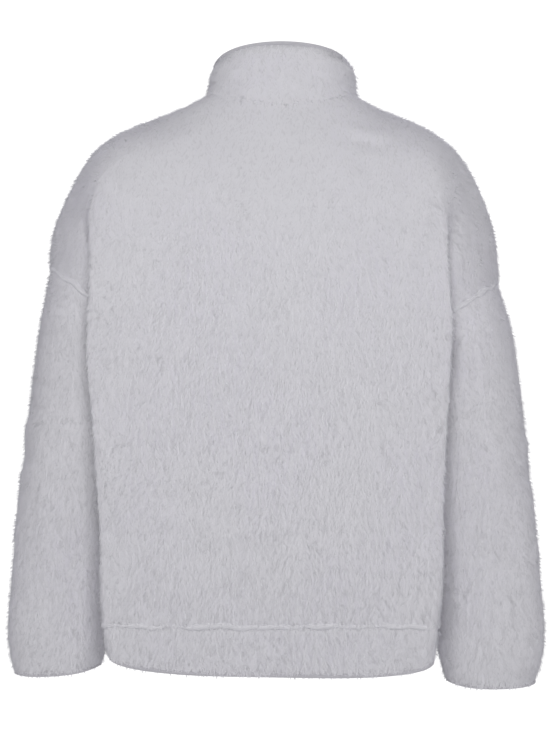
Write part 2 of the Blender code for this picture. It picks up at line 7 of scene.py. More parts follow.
import json
import logging
import math
from collections.abc import Callable, Iterator, Sequence
from contextlib import contextmanager
from dataclasses import dataclass, field
from enum import Enum

import bmesh
import bpy
import numpy as np
from mathutils import Matrix, Vector
from mathutils.kdtree import KDTree


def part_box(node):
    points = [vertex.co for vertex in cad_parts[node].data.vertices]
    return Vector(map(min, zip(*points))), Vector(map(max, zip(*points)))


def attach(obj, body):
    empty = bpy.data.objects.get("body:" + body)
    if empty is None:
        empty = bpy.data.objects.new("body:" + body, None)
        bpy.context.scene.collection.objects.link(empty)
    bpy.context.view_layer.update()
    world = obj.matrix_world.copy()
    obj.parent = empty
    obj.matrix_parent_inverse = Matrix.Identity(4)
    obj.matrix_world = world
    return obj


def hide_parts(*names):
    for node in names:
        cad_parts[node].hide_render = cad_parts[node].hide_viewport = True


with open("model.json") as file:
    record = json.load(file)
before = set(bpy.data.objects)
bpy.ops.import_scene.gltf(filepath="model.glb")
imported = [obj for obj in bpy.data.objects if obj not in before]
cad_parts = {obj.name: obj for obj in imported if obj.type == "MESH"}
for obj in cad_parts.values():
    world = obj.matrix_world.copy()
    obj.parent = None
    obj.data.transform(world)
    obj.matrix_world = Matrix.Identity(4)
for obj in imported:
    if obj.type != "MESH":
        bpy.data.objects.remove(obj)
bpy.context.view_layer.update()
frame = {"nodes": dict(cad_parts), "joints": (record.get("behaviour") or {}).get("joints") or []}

log = logging.getLogger("jacket")

GARMENT = "garment"
PULL_TAB = "pull_tab"

Colour = tuple[float, float, float]
Size = tuple[float, float, float]
Socket = bpy.types.NodeSocket

# How the solids are read
WELD = 1e-5
JOIN_BEND = math.radians(40.0)
JOIN_SHAPE = math.radians(60.0)
WALL_CORNER = math.radians(62.0)
FINER = 2                      # subdivision levels of a cloth shell or a binding

# How hard pieces are shaded smooth, under these turns
SMOOTH_TURN = math.radians(40.0)
TOOTH_TURN = math.radians(35.0)

# Heights in the cloth, in from the solid's outer side
GROUND_INSET = 0.0030          # where the tufts are rooted
CLOTH_THICK = 0.0045
TUCK = 0.0026                  # of a panel's edge into its binding
TUCK_REACH = (0.0046, 0.0020)  # from the binding: where the tuck starts, and where it is full
UNEVEN = 0.0007                # of the cloth between its creases
UNEVEN_SIZE = 0.085
UNEVEN_DRAWN = np.array([1.0, 1.0, 0.6])       # along X, Y and Z: the smaller, the longer its swells

# How chance is spread
EVEN_STEPS = np.array([0.7548776662, 0.5698402910])    # of a sequence that fills a square evenly
WAVE_RANGE = (0.7, 1.5)        # of the lengths of a ripple's waves, beside the one asked for
CLOTH_SEED = 5
ROLL_SEED = 21

# A tuft's points are its left, right, ridge and tip
TUFT_FACES = ((0, 3, 2), (2, 3, 1))
TUFT_HEIGHTS = (0.15, 0.15, 0.4, 1.0)
CLUMP_DRAWN = np.array([1.0, 1.0, 0.45])       # along X, Y and Z: the clumps are longer than wide

# How a crease is shaped
CREASE_ENDS = 0.05             # how far in on a half wave its ends lie
CREASE_TAPER = 0.6             # how soon it fades towards them
CREASE_DIP = 0.28              # of the shallow dip beside it, against its own height
CREASE_TURN = 1.6              # how soon it fades where the cloth turns away


class Seen(Enum):
    """The side from which a crease's line is given, as the direction that its cloth faces."""

    BACK = (0.0, 1.0, 0.0)
    FRONT = (0.0, -1.0, 0.0)
    LEFT = (1.0, 0.0, 0.0)
    RIGHT = (-1.0, 0.0, 0.0)


class Form(Enum):
    """Whether a crease stands out of the cloth or lies in it."""

    RIDGE = 1.0
    TROUGH = -1.0


class Held(Enum):
    """What keeps a cut piece in its form."""

    HUNG = "hung"
    STRETCHED = "stretched"


@dataclass(frozen=True)
class Crease:
    """One soft crease of the cloth.

    start and end are (across, height) in metres: across is X on the back and fronts, Y on a side.
    """

    seen: Seen
    form: Form
    start: tuple[float, float]
    end: tuple[float, float]
    width: float
    depth: float
    bow: float = 0.0

    def line(self, count: int = 13) -> np.ndarray:
        """Points along the bowed line of the crease.

        Args:
            count: how many points.

        Returns:
            The points as rows of (across, height).
        """
        start = np.array(self.start)
        end = np.array(self.end)
        along = end - start
        aside = np.array([-along[1], along[0]]) / np.linalg.norm(along)
        share = np.linspace(0.0, 1.0, count)[:, None]
        return start + along * share + aside * self.bow * 4 * share * (1 - share)

    def height_at(self, points: np.ndarray, normals: np.ndarray) -> np.ndarray:
        """How far this crease lifts each point along its normal.

        Args:
            points: the cloth's points, one a row.
            normals: their normals.

        Returns:
            One height a point, in metres.
        """
        facing = np.array(self.seen.value)
        across = points[:, 0] if self.seen in (Seen.BACK, Seen.FRONT) else points[:, 1]
        flat = np.stack([across, points[:, 2]], axis=1)
        line = self.line()
        gaps = np.linalg.norm(flat[:, None, :] - line[None, :, :], axis=2)
        nearest = gaps.argmin(axis=1)
        share = nearest / (len(line) - 1)
        taper = np.sin(np.pi * (share * (1 - 2 * CREASE_ENDS) + CREASE_ENDS)) ** CREASE_TAPER
        reach = (gaps.min(axis=1) / self.width) ** 2
        profile = np.exp(-reach) - CREASE_DIP * np.exp(-reach / 4.0)
        turned = np.clip(normals @ facing * CREASE_TURN, 0.0, 1.0)
        return self.form.value * self.depth * profile * taper * turned


@dataclass(frozen=True)
class Brush:
    """Noise drawn out along the nap, which runs from 0 at its low level to 1 at its high one."""

    scale: float
    stretch: float
    detail: float
    low: float
    high: float


@dataclass(frozen=True)
class PileFinish:
    """Brushed pile: its colours at the tips and the roots, and how much they wander; the roots' slightly
    darker colour is painted shade.
    """

    name: str
    tip: Colour
    cool: Colour
    # the roots' colour, a little darker than the tips': painted shade at the foot of each tuft
    root: Colour
    patches: Brush
    streaks: Brush
    streak_shade: float            # how light a streak is beside the tips
    # the ground is kept darker than the tufts: painted shade between them
    ground: float                  # how light the ground is beside the tufts
    ground_streaks: float          # how much the streaks show in it
    roughness: float
    gloss: float
    sheen: float
    sheen_roughness: float
    sheen_tint: Colour
    bump: float                    # of the ground
    relief: float                  # how high the bump is, in metres


@dataclass(frozen=True)
class KnitFinish:
    """A knitted or woven surface with fine rows."""

    name: str
    colour: Colour
    shade: Colour
    roughness: float
    rows_per_metre: float
    bump: float
    relief: float = 0.0006
    cross: float = 0.7             # how strong the stitches are beside the rows
    sheen: float = 0.1
    gloss: float = 0.2
    wear: Brush = Brush(60.0, 1.0, 3.0, 0.3, 0.7)
    worn: float = 0.35             # how much the shade shows where it is worn


@dataclass(frozen=True)
class HardFinish:
    """Moulded plastic or satin metal."""

    name: str
    colour: Colour
    worn: Colour
    roughness: float
    metallic: float
    grain: Brush
    wear: Brush = Brush(90.0, 1.0, 3.0, 0.45, 0.75)
    smoother: float = 0.05         # than its roughness, where the grain is low
    rougher: float = 0.12          # where it is high
    bump: float = 0.08
    relief: float = 0.0003


PILE_FINISH = PileFinish(
    name="pile", tip=(0.915, 0.915, 0.925), cool=(0.895, 0.885, 0.925), root=(0.91, 0.91, 0.92),
    patches=Brush(9.0, 0.8, 1.0, 0.38, 0.62), streaks=Brush(190.0, 0.28, 2.0, 0.3, 0.7),
    streak_shade=0.98, ground=0.90, ground_streaks=0.3, roughness=0.92, gloss=0.15, sheen=0.5,
    sheen_roughness=0.5, sheen_tint=(0.86, 0.85, 0.94), bump=0.6, relief=0.001,
)
BINDING_FINISH = KnitFinish("binding_knit", (0.72, 0.715, 0.735), (0.62, 0.615, 0.64), 0.74, 900.0, 0.12)
BACKING_FINISH = KnitFinish("backing_knit", (0.74, 0.735, 0.76), (0.66, 0.655, 0.68), 0.88, 620.0, 0.25)
TAPE_FINISH = KnitFinish("zip_tape_weave", (0.80, 0.795, 0.82), (0.70, 0.695, 0.72), 0.80, 1100.0, 0.20)
TEETH_FINISH = HardFinish(
    "zip_teeth", (0.83, 0.83, 0.84), (0.76, 0.76, 0.77), 0.36, 0.0, Brush(240.0, 0.25, 4.0, 0.3, 0.7)
)
METAL_FINISH = HardFinish(
    "zip_metal", (0.40, 0.40, 0.42), (0.30, 0.30, 0.32), 0.46, 1.0, Brush(420.0, 0.25, 4.0, 0.3, 0.7)
)


class NodeBench:
    """Adds and joins the nodes of one tree."""

    def __init__(self, tree: bpy.types.NodeTree) -> None:
        """Keeps the tree that the nodes go into."""
        self.tree = tree

    def add(self, kind: str, **values: object) -> bpy.types.Node:
        """Adds a node and fills it.

        Args:
            kind: Blender's name of the node.
            **values: what it is filled with.

        Returns:
            The node.
        """
        return self.fill(self.tree.nodes.new(kind), **values)

    def fill(self, node: bpy.types.Node, **values: object) -> bpy.types.Node:
        """Sets a node's properties and its input sockets.

        Args:
            node: the node.
            **values: properties by their names, or sockets' values and sources by the sockets' names.

        Returns:
            The same node.
        """
        for name, value in values.items():
            if hasattr(node, name):
                setattr(node, name, value)
            else:
                self.feed(node.inputs[name.replace("_", " ")], value)
        return node

    def feed(self, target: Socket, value: object) -> None:
        """Gives an input socket another socket's value, a colour or a number."""
        if isinstance(value, Socket):
            self.tree.links.new(value, target)
        elif isinstance(value, tuple):
            target.default_value = (*value, 1.0)
        else:
            target.default_value = value

    def work_out(self, operation: str, *values: object, kind: str = "ShaderNodeMath") -> Socket:
        """Works out one value from others.

        Args:
            operation: Blender's name of the operation.
            *values: numbers or sockets, in the order of the node's inputs.
            kind: the node that does it.

        Returns:
            The socket of the result.
        """
        node = self.add(kind, operation=operation)
        for target, value in zip(node.inputs, values):
            self.feed(target, value)
        return node.outputs[0]

    def mix(self, mask: Socket, low: Colour | Socket, high: Colour | Socket) -> Socket:
        """Mixes two colours by a mask.

        Args:
            mask: the socket of the share of the second colour.
            low: the first colour, or its socket.
            high: the second colour, or its socket.

        Returns:
            The socket of the mixed colour.
        """
        node = self.add("ShaderNodeMix", data_type="RGBA")
        for place, value in ((0, mask), (6, low), (7, high)):
            self.feed(node.inputs[place], value)
        return node.outputs[2]

    def blend(self, mask: Socket, low: bpy.types.Node, high: bpy.types.Node, end: bpy.types.Node) -> None:
        """Mixes two shaders by a mask and leads them to an output node."""
        node = self.add("ShaderNodeMixShader")
        for target, value in zip(node.inputs, (mask, low.outputs[0], high.outputs[0])):
            self.feed(target, value)
        self.feed(end.inputs[0], node.outputs[0])


def new_group(name: str, **inputs: float) -> tuple[NodeBench, bpy.types.Node]:
    """Starts a shader node group that gives a mask from 0 to 1.

    Args:
        name: the group's name.
        **inputs: each input's default value.

    Returns:
        The group's bench and its input node.
    """
    group = bpy.data.node_groups.new(name, "ShaderNodeTree")
    for label, value in inputs.items():
        socket = group.interface.new_socket(label, in_out="INPUT", socket_type="NodeSocketFloat")
        socket.default_value = value
    group.interface.new_socket("Mask", in_out="OUTPUT", socket_type="NodeSocketFloat")
    bench = NodeBench(group)
    return bench, bench.add("NodeGroupInput")


def brushed_group() -> bpy.types.NodeTree:
    """Noise drawn out along the nap."""
    bench, given = new_group("brushed", Scale=120.0, Stretch=0.3, Detail=2.0, Low=0.35, High=0.65)
    sockets = given.outputs
    place = bench.add("ShaderNodeTexCoord")
    stretch = bench.add("ShaderNodeCombineXYZ", X=1.0, Y=1.0, Z=sockets["Stretch"])
    drawn = bench.work_out(
        "MULTIPLY", place.outputs["Object"], stretch.outputs[0], kind="ShaderNodeVectorMath"
    )
    noise = bench.add("ShaderNodeTexNoise", Vector=drawn, Scale=sockets["Scale"], Detail=sockets["Detail"])
    levels = bench.add(
        "ShaderNodeMapRange", Value=noise.outputs["Fac"], From_Min=sockets["Low"], From_Max=sockets["High"]
    )
    bench.add("NodeGroupOutput", Mask=levels.outputs[0])
    return bench.tree


def knit_group() -> bpy.types.NodeTree:
    """Fine rows crossed by stitches."""
    bench, given = new_group("knit_rows", Rows=900.0, Cross=0.6)
    place = bench.add("ShaderNodeTexCoord")
    split = bench.add("ShaderNodeSeparateXYZ", Vector=place.outputs["Object"])
    around = bench.work_out("ADD", split.outputs["X"], split.outputs["Y"])
    waves = []
    for source in (split.outputs["Z"], around):
        turns = bench.work_out("MULTIPLY", source, given.outputs["Rows"])
        waves.append(bench.work_out("SINE", bench.work_out("MULTIPLY", turns, math.tau)))
    crossed = bench.work_out("MULTIPLY", waves[1], given.outputs["Cross"])
    total = bench.work_out("ADD", waves[0], crossed)
    levels = bench.add("ShaderNodeMapRange", Value=total, From_Min=-1.6, From_Max=1.6)
    bench.add("NodeGroupOutput", Mask=levels.outputs[0])
    return bench.tree


def scaled(colour: Colour, share: float) -> Colour:
    """A colour made lighter or darker."""
    return tuple(share * part for part in colour)


class Wardrobe:
    """Makes each material once, from the shared groups."""

    def __init__(self) -> None:
        """Builds the shared groups."""
        self.brushed = brushed_group()
        self.knit = knit_group()
        self.made: dict[str, bpy.types.Material] = {}

    def once(self, name: str, paint: Callable[[NodeBench, bpy.types.Node], None]) -> bpy.types.Material:
        """The material of a name, which is made when it is first asked for.

        Args:
            name: the material's name.
            paint: fills the shader of a new material, given its bench.

        Returns:
            The material.
        """
        if name not in self.made:
            material = bpy.data.materials.new(name)
            material.use_nodes = True
            paint(NodeBench(material.node_tree), material.node_tree.nodes["Principled BSDF"])
            self.made[name] = material
        return self.made[name]

    def brush(self, bench: NodeBench, look: Brush) -> Socket:
        """The mask that brushed noise gives."""
        node = bench.add(
            "ShaderNodeGroup", node_tree=self.brushed, Scale=look.scale, Stretch=look.stretch,
            Detail=look.detail, Low=look.low, High=look.high,
        )
        return node.outputs["Mask"]

    @staticmethod
    def bump(
        bench: NodeBench, shader: bpy.types.Node, height: Socket, strength: float, distance: float
    ) -> None:
        """Bends a shader's normal by a height."""
        bump = bench.add("ShaderNodeBump", Strength=strength, Distance=distance, Height=height)
        bench.fill(shader, Normal=bump.outputs[0])

    @staticmethod
    def light_through(bench: NodeBench, shader: bpy.types.Node, colour: Socket) -> None:
        """Lets a tuft that is seen from below show the light that falls on its upper side."""
        below = bench.add("ShaderNodeBsdfTranslucent", Color=colour)
        seen = bench.add("ShaderNodeNewGeometry")
        bench.blend(seen.outputs["Backfacing"], shader, below, bench.tree.nodes["Material Output"])

    @staticmethod
    def fill_pile(bench: NodeBench, shader: bpy.types.Node, finish: PileFinish, colour: Socket) -> None:
        """Fills a shader with what the tufts and their ground share."""
        bench.fill(
            shader, Base_Color=colour, Roughness=finish.roughness, Specular_IOR_Level=finish.gloss,
            Sheen_Weight=finish.sheen, Sheen_Roughness=finish.sheen_roughness, Sheen_Tint=finish.sheen_tint,
        )

    def tufts(self, finish: PileFinish) -> bpy.types.Material:
        """The material of the tufts, in patches and streaks of slightly different white, a little darker
        towards the roots in painted shade.
        """

        def paint(bench: NodeBench, shader: bpy.types.Node) -> None:
            """Fills the shader."""
            tone = bench.mix(self.brush(bench, finish.patches), finish.tip, finish.cool)
            streaks = self.brush(bench, finish.streaks)
            streaked = bench.mix(streaks, scaled(finish.tip, finish.streak_shade), tone)
            # darker towards the roots by the tuft's height: painted shade
            height = bench.add("ShaderNodeAttribute", attribute_name="height")
            colour = bench.mix(height.outputs["Fac"], finish.root, streaked)
            self.fill_pile(bench, shader, finish, colour)
            self.light_through(bench, shader, colour)

        return self.once(f"{finish.name}_tufts", paint)

    def ground(self, finish: PileFinish) -> bpy.types.Material:
        """The material of the ground that the tufts stand in, a little darker than they are: painted shade
        between the tufts.
        """

        def paint(bench: NodeBench, shader: bpy.types.Node) -> None:
            """Fills the shader."""
            streaks = self.brush(bench, finish.streaks)
            share = bench.work_out("MULTIPLY", streaks, finish.ground_streaks)
            # the pile's colours made darker: painted shade under the tufts
            colour = bench.mix(share, scaled(finish.tip, finish.ground), scaled(finish.root, finish.ground))
            self.fill_pile(bench, shader, finish, colour)
            self.bump(bench, shader, streaks, finish.bump, finish.relief)

        return self.once(f"{finish.name}_ground", paint)

    def cloth(self, finish: KnitFinish) -> bpy.types.Material:
        """The material of a knitted or woven piece."""

        def paint(bench: NodeBench, shader: bpy.types.Node) -> None:
            """Fills the shader."""
            knitted = bench.add(
                "ShaderNodeGroup", node_tree=self.knit, Rows=finish.rows_per_metre, Cross=finish.cross
            )
            rows = knitted.outputs["Mask"]
            worn = bench.work_out("MULTIPLY", self.brush(bench, finish.wear), finish.worn)
            colour = bench.mix(worn, bench.mix(rows, finish.shade, finish.colour), finish.shade)
            bench.fill(
                shader, Base_Color=colour, Roughness=finish.roughness, Specular_IOR_Level=finish.gloss,
                Sheen_Weight=finish.sheen,
            )
            self.bump(bench, shader, rows, finish.bump, finish.relief)

        return self.once(finish.name, paint)

    def hard(self, finish: HardFinish) -> bpy.types.Material:
        """The material of a hard piece, with a fine grain and a little wear."""

        def paint(bench: NodeBench, shader: bpy.types.Node) -> None:
            """Fills the shader."""
            grain = self.brush(bench, finish.grain)
            wear = self.brush(bench, finish.wear)
            rough = bench.add(
                "ShaderNodeMapRange", Value=grain, To_Min=finish.roughness - finish.smoother,
                To_Max=finish.roughness + finish.rougher,
            )
            bench.fill(
                shader, Base_Color=bench.mix(wear, finish.colour, finish.worn), Roughness=rough.outputs[0],
                Metallic=finish.metallic,
            )
            self.bump(bench, shader, grain, finish.bump, finish.relief)

        return self.once(finish.name, paint)


def points_of(mesh: bpy.types.Mesh) -> np.ndarray:
    """A mesh's points, one a row."""
    points = np.empty(len(mesh.vertices) * 3, np.float32)
    mesh.vertices.foreach_get("co", points)
    return points.reshape(-1, 3).astype(float)


def normals_of(mesh: bpy.types.Mesh) -> np.ndarray:
    """A mesh's point normals, one a row."""
    normals = np.empty(len(mesh.vertices) * 3, np.float32)
    mesh.vertex_normals.foreach_get("vector", normals)
    return normals.reshape(-1, 3).astype(float)


def unit(rows: np.ndarray) -> np.ndarray:
    """Each row at a length of one."""
    return rows / np.maximum(np.linalg.norm(rows, axis=-1, keepdims=True), 1e-12)


def smooth_step(low: float, high: float, values: np.ndarray) -> np.ndarray:
    """0 below low, 1 above high, and a soft ramp between."""
    share = np.clip((values - low) / (high - low), 0.0, 1.0)
    return share * share * (3 - 2 * share)


def ripple(points: np.ndarray, wavelength: float, seed: int, waves: int = 9) -> np.ndarray:
    """Smooth noise of about -1 to 1, as a sum of plane waves.

    Args:
        points: where it is read, one point a row.
        wavelength: the size of its features, in metres.
        seed: which pattern.
        waves: how many waves are summed.

    Returns:
        One value a point.
    """
    draw = np.random.default_rng(seed)
    directions = unit(draw.normal(size=(waves, 3)))
    lengths = wavelength * draw.uniform(*WAVE_RANGE, (waves, 1))
    ways = directions * (math.tau / lengths)
    starts = draw.uniform(0.0, math.tau, waves)
    return np.sin(points @ ways.T + starts).sum(axis=1) * math.sqrt(2.0 / waves)


def new_piece(name: str, mesh: bpy.types.Mesh) -> bpy.types.Object:
    """An object for a mesh, linked to the scene."""
    mesh.name = name
    piece = bpy.data.objects.new(name, mesh)
    bpy.context.scene.collection.objects.link(piece)
    return piece


def select_only(piece: bpy.types.Object) -> None:
    """Makes a piece the only one selected, and the active one."""
    bpy.ops.object.select_all(action="DESELECT")
    piece.select_set(True)
    bpy.context.view_layer.objects.active = piece


def apply_all(piece: bpy.types.Object) -> None:
    """Applies every modifier of a piece, in order."""
    select_only(piece)
    for modifier in list(piece.modifiers):
        bpy.ops.object.modifier_apply(modifier=modifier.name)


def opened(mesh: bpy.types.Mesh) -> bmesh.types.BMesh:
    """A copy of a mesh to work on."""
    work = bmesh.new()
    work.from_mesh(mesh)
    return work


def put_back(work: bmesh.types.BMesh, mesh: bpy.types.Mesh) -> None:
    """Writes a worked copy into a mesh and frees it."""
    work.to_mesh(mesh)
    work.free()


def place_points(mesh: bpy.types.Mesh, points: np.ndarray) -> None:
    """Moves a mesh's points, given one a row."""
    mesh.vertices.foreach_set("co", points.astype(np.float32).ravel())
    mesh.update()


def round_out(piece: bpy.types.Object, boundary: str = "ALL") -> None:
    """Subdivides a piece into smooth curves.

    Args:
        piece: the piece.
        boundary: which corners of an open edge are rounded too, in Blender's words.
    """
    rounding = piece.modifiers.new("rounding", "SUBSURF")
    rounding.levels = FINER
    rounding.render_levels = FINER
    rounding.boundary_smooth = boundary
    apply_all(piece)


def merged(node: str) -> bmesh.types.BMesh:
    """A copy of a CAD node's mesh with its triangles joined up, and most of them paired."""
    work = opened(frame["nodes"][node].data)
    bmesh.ops.remove_doubles(work, verts=work.verts, dist=WELD)
    bmesh.ops.join_triangles(
        work, faces=work.faces, angle_face_threshold=JOIN_BEND, angle_shape_threshold=JOIN_SHAPE
    )
    return work


def smooth_regions(work: bmesh.types.BMesh) -> list[list[bmesh.types.BMFace]]:
    """Groups of faces that meet at less than the corner of a wall."""
    regions = []
    seen = set()
    for first in work.faces:
        if first in seen:
            continue
        seen.add(first)
        group = []
        waiting = [first]
        while waiting:
            face = waiting.pop()
            group.append(face)
            for edge in face.edges:
                if len(edge.link_faces) != 2 or edge.calc_face_angle() > WALL_CORNER:
                    continue
                for other in edge.link_faces:
                    if other not in seen:
                        seen.add(other)
                        waiting.append(other)
        regions.append(group)
    return regions


def looks_out(faces: list[bmesh.types.BMFace], middle: tuple[float, float]) -> float:
    """How far some faces look away from the upright line through a middle, by their area and distance."""
    total = 0.0
    for face in faces:
        centre = face.calc_center_median()
        total += face.calc_area() * face.normal.dot(centre - Vector((*middle, centre.z)))
    return total


def outer_patch(node: str, middle: tuple[float, float]) -> bpy.types.Mesh:
    """The outer side of a CAD wall as one open sheet.

    Args:
        node: the wall's node.
        middle: X and Y of the hollow that the wall stands round.

    Returns:
        The sheet's mesh.
    """
    work = merged(node)
    kept = set(max(smooth_regions(work), key=lambda faces: looks_out(faces, middle)))
    bmesh.ops.delete(work, geom=[f for f in work.faces if f not in kept], context="FACES")
    mesh = bpy.data.meshes.new(node)
    put_back(work, mesh)
    mesh.materials.clear()
    mesh.shade_smooth()
    return mesh


def search_tree(points: Sequence[Vector]) -> KDTree:
    """Points made ready to search, by their number."""
    tree = KDTree(len(points))
    for index, point in enumerate(points):
        tree.insert(point, index)
    tree.balance()
    return tree


def edge_tree(works: list[bmesh.types.BMesh], all_edges: bool, step: float = 0.002) -> KDTree:
    """Points along the edges of some meshes, close enough together to measure from.

    Args:
        works: the meshes, which are freed.
        all_edges: False to follow only the open ones.
        step: the most between two points.

    Returns:
        The points, ready to search.
    """
    found = []
    for work in works:
        for edge in work.edges:
            if all_edges or edge.is_boundary:
                count = max(1, math.ceil(edge.calc_length() / step))
                a, b = (v.co for v in edge.verts)
                found.extend(a.lerp(b, k / count) for k in range(count))
        work.free()
    return search_tree(found)


def distances(points: np.ndarray, tree: KDTree) -> np.ndarray:
    """How far each point is from the nearest point of a tree."""
    return np.array([tree.find(p)[2] for p in points])


def sweep(
    name: str, centres: np.ndarray, across: np.ndarray, outward: np.ndarray, profile: np.ndarray,
    closed: bool = False,
) -> bpy.types.Object:
    """A closed strip that carries a flat outline along a line.

    Args:
        name: the piece's name.
        centres: the line's points.
        across: the outline's first direction at each point.
        outward: the outline's second direction at each point.
        profile: the outline's points, (points, 2) or (line points, points, 2).
        closed: whether the line is a loop.

    Returns:
        The piece.
    """
    count = len(centres)
    outline = np.broadcast_to(profile, (count, *profile.shape[-2:]))
    sides = outline.shape[1]
    points = centres[:, None] + across[:, None] * outline[..., :1] + outward[:, None] * outline[..., 1:]
    faces = []
    for row in range(count if closed else count - 1):
        after = (row + 1) % count
        for k in range(sides):
            j = (k + 1) % sides
            faces.append((row * sides + k, row * sides + j, after * sides + j, after * sides + k))
    if not closed:
        faces.append(tuple(range(sides)))
        faces.append(tuple((count - 1) * sides + k for k in range(sides)))
    mesh = bpy.data.meshes.new(name)
    mesh.from_pydata(points.reshape(-1, 3).tolist(), [], faces)
    work = opened(mesh)
    bmesh.ops.recalc_face_normals(work, faces=work.faces)
    put_back(work, mesh)
    mesh.shade_smooth()
    return new_piece(name, mesh)


def ring(sides: int) -> np.ndarray:
    """The outline of a circle with a radius of one, one point a row."""
    turns = np.arange(sides) * math.tau / sides
    return np.stack([np.cos(turns), np.sin(turns)], axis=1)


@dataclass(frozen=True)
class Pile:
    """The combed coat of tufts that stands on a panel's ground or on a seam."""

    per_square_metre: float = 285000.0
    length: float = 0.0064         # along the cloth, root to tip
    lift: float = 0.0021           # of most tips above the ground
    stray: float = 0.0056          # of the stray tips
    strays: float = 0.25           # their share
    stray_width: float = 0.42      # beside a combed tuft's
    stray_reach: float = 0.55      # the same, along the cloth
    width: float = 0.0021
    ridge: float = 0.00028         # of a tuft's back above its foot
    sunk: float = 0.0002
    clump: float = 0.0075          # size of the clumps that the tips lean into
    lean: float = 0.30             # how far a clump turns its tips aside, in radians
    broad: tuple[float, float] = (0.5, 4.0)        # a second lean and its size, beside the clumps'
    turn: float = 0.10             # how far each tuft turns on its own, in radians
    lengths: tuple[float, float] = (0.78, 1.18)    # of single tufts, beside the length above
    heights: tuple[float, float] = (0.78, 1.22)
    widths: tuple[float, float] = (0.8, 1.2)
    rolling: tuple[float, float] = (0.10, 1.4)     # how much the height swells, and over what size
    flattest: float = 0.8          # how far up the ground faces, past which the pile lies no flatter
    pressed: float = 0.9           # how much of the lift goes where the ground faces up
    stray_pressed: float = 0.6
    height_limits: tuple[float, float] = (0.35, 1.45)
    shorter: float = 0.4           # how much of the length goes where the pile is brushed up
    slimmest: float = 0.5          # width of a tuft that has almost none of its full size
    rounded: float = 0.1           # how far the shading turns aside at a tuft's sides
    lit_up: float = 1.2            # how far it turns up where the pile is brushed up
    least: float = 0.12            # share of its full size under which a tuft is left out
    most_triangles: int = 199000
    seed: int = 11

    def roots(
        self, points: np.ndarray, normals: np.ndarray, triangles: np.ndarray, draw: np.random.Generator
    ) -> tuple[np.ndarray, np.ndarray]:
        """Spreads roots evenly over a sheet.

        Args:
            points: the sheet's points.
            normals: their normals.
            triangles: its triangles, as point numbers.
            draw: where the random numbers come from.

        Returns:
            The roots and their normals.
        """
        a, b, c = (points[triangles[:, k]] for k in range(3))
        area = np.linalg.norm(np.cross(b - a, c - a), axis=1) / 2
        edges = np.concatenate([[0.0], np.cumsum(area)])
        count = int(edges[-1] * self.per_square_metre)
        numbers = np.arange(count)
        steps = (numbers + draw.uniform(0.1, 0.9, count)) * edges[-1] / count
        chosen = np.clip(np.searchsorted(edges, steps) - 1, 0, len(area) - 1)
        u, v = ((numbers[:, None] * EVEN_STEPS + draw.random(2)) % 1.0).T
        folded = u + v > 1
        u[folded], v[folded] = 1 - u[folded], 1 - v[folded]
        weights = np.stack([1 - u - v, u, v], axis=1)[..., None]
        corners = triangles[chosen]
        return (points[corners] * weights).sum(axis=1), unit((normals[corners] * weights).sum(axis=1))

    def grow(
        self, roots: np.ndarray, normals: np.ndarray, fullness: np.ndarray, raised: np.ndarray,
        draw: np.random.Generator,
    ) -> tuple[np.ndarray, np.ndarray]:
        """Works out every tuft's four points and their shading normals.

        Args:
            roots: where the tufts stand.
            normals: the ground's normals there.
            fullness: the share of its full size that each tuft has.
            raised: how far each is brushed up instead of down, from 0 to 1.
            draw: where the random numbers come from.

        Returns:
            Points and normals, both as (tufts, 4, 3): left, right, ridge and tip.
        """
        count = len(roots)
        down = np.array([0.0, 0.0, -1.0]) - normals * -normals[:, 2:]
        down = unit(down) * (1.0 - 2.0 * raised)[:, None]
        aside = np.cross(normals, down)
        drawn = roots * CLUMP_DRAWN
        turn = self.lean * ripple(drawn, self.clump, self.seed)
        broad, broad_size = self.broad
        turn += broad * self.lean * ripple(drawn, self.clump * broad_size, self.seed + 1)
        turn += draw.normal(0.0, self.turn, count)
        nap = down * np.cos(turn)[:, None] + aside * np.sin(turn)[:, None]
        across = unit(np.cross(normals, nap))
        size = fullness * draw.uniform(*self.lengths, count)
        swell, swell_size = self.rolling
        height = 1.0 + swell * ripple(drawn, self.clump * swell_size, self.seed + 2)
        astray = draw.random(count) < self.strays
        level = np.clip(normals[:, 2], 0.0, self.flattest)
        low = self.lift * (1.0 - self.pressed * level)
        tall = np.where(astray, self.stray * (1.0 - self.stray_pressed * level), low)
        height = np.clip(height * draw.uniform(*self.heights, count), *self.height_limits)
        height = height * tall * fullness
        length = self.length * size * np.where(astray, self.stray_reach, 1.0) * (1.0 - self.shorter * raised)
        slim = self.slimmest + (1.0 - self.slimmest) * fullness
        half = self.width / 2 * draw.uniform(*self.widths, count) * slim
        half = (half * np.where(astray, self.stray_width, 1.0))[:, None]
        foot = roots - normals * self.sunk
        tufts = np.stack(
            [
                foot - across * half,
                foot + across * half,
                foot + normals * self.ridge - nap * half,
                roots + nap * length[:, None] + normals * height[:, None],
            ],
            axis=1,
        )
        upward = unit(normals + np.array([0.0, 0.0, self.lit_up]) * raised[:, None])
        aside = across * self.rounded
        shading = np.stack([upward - aside, upward + aside, upward, upward], axis=1)
        return tufts, unit(shading)

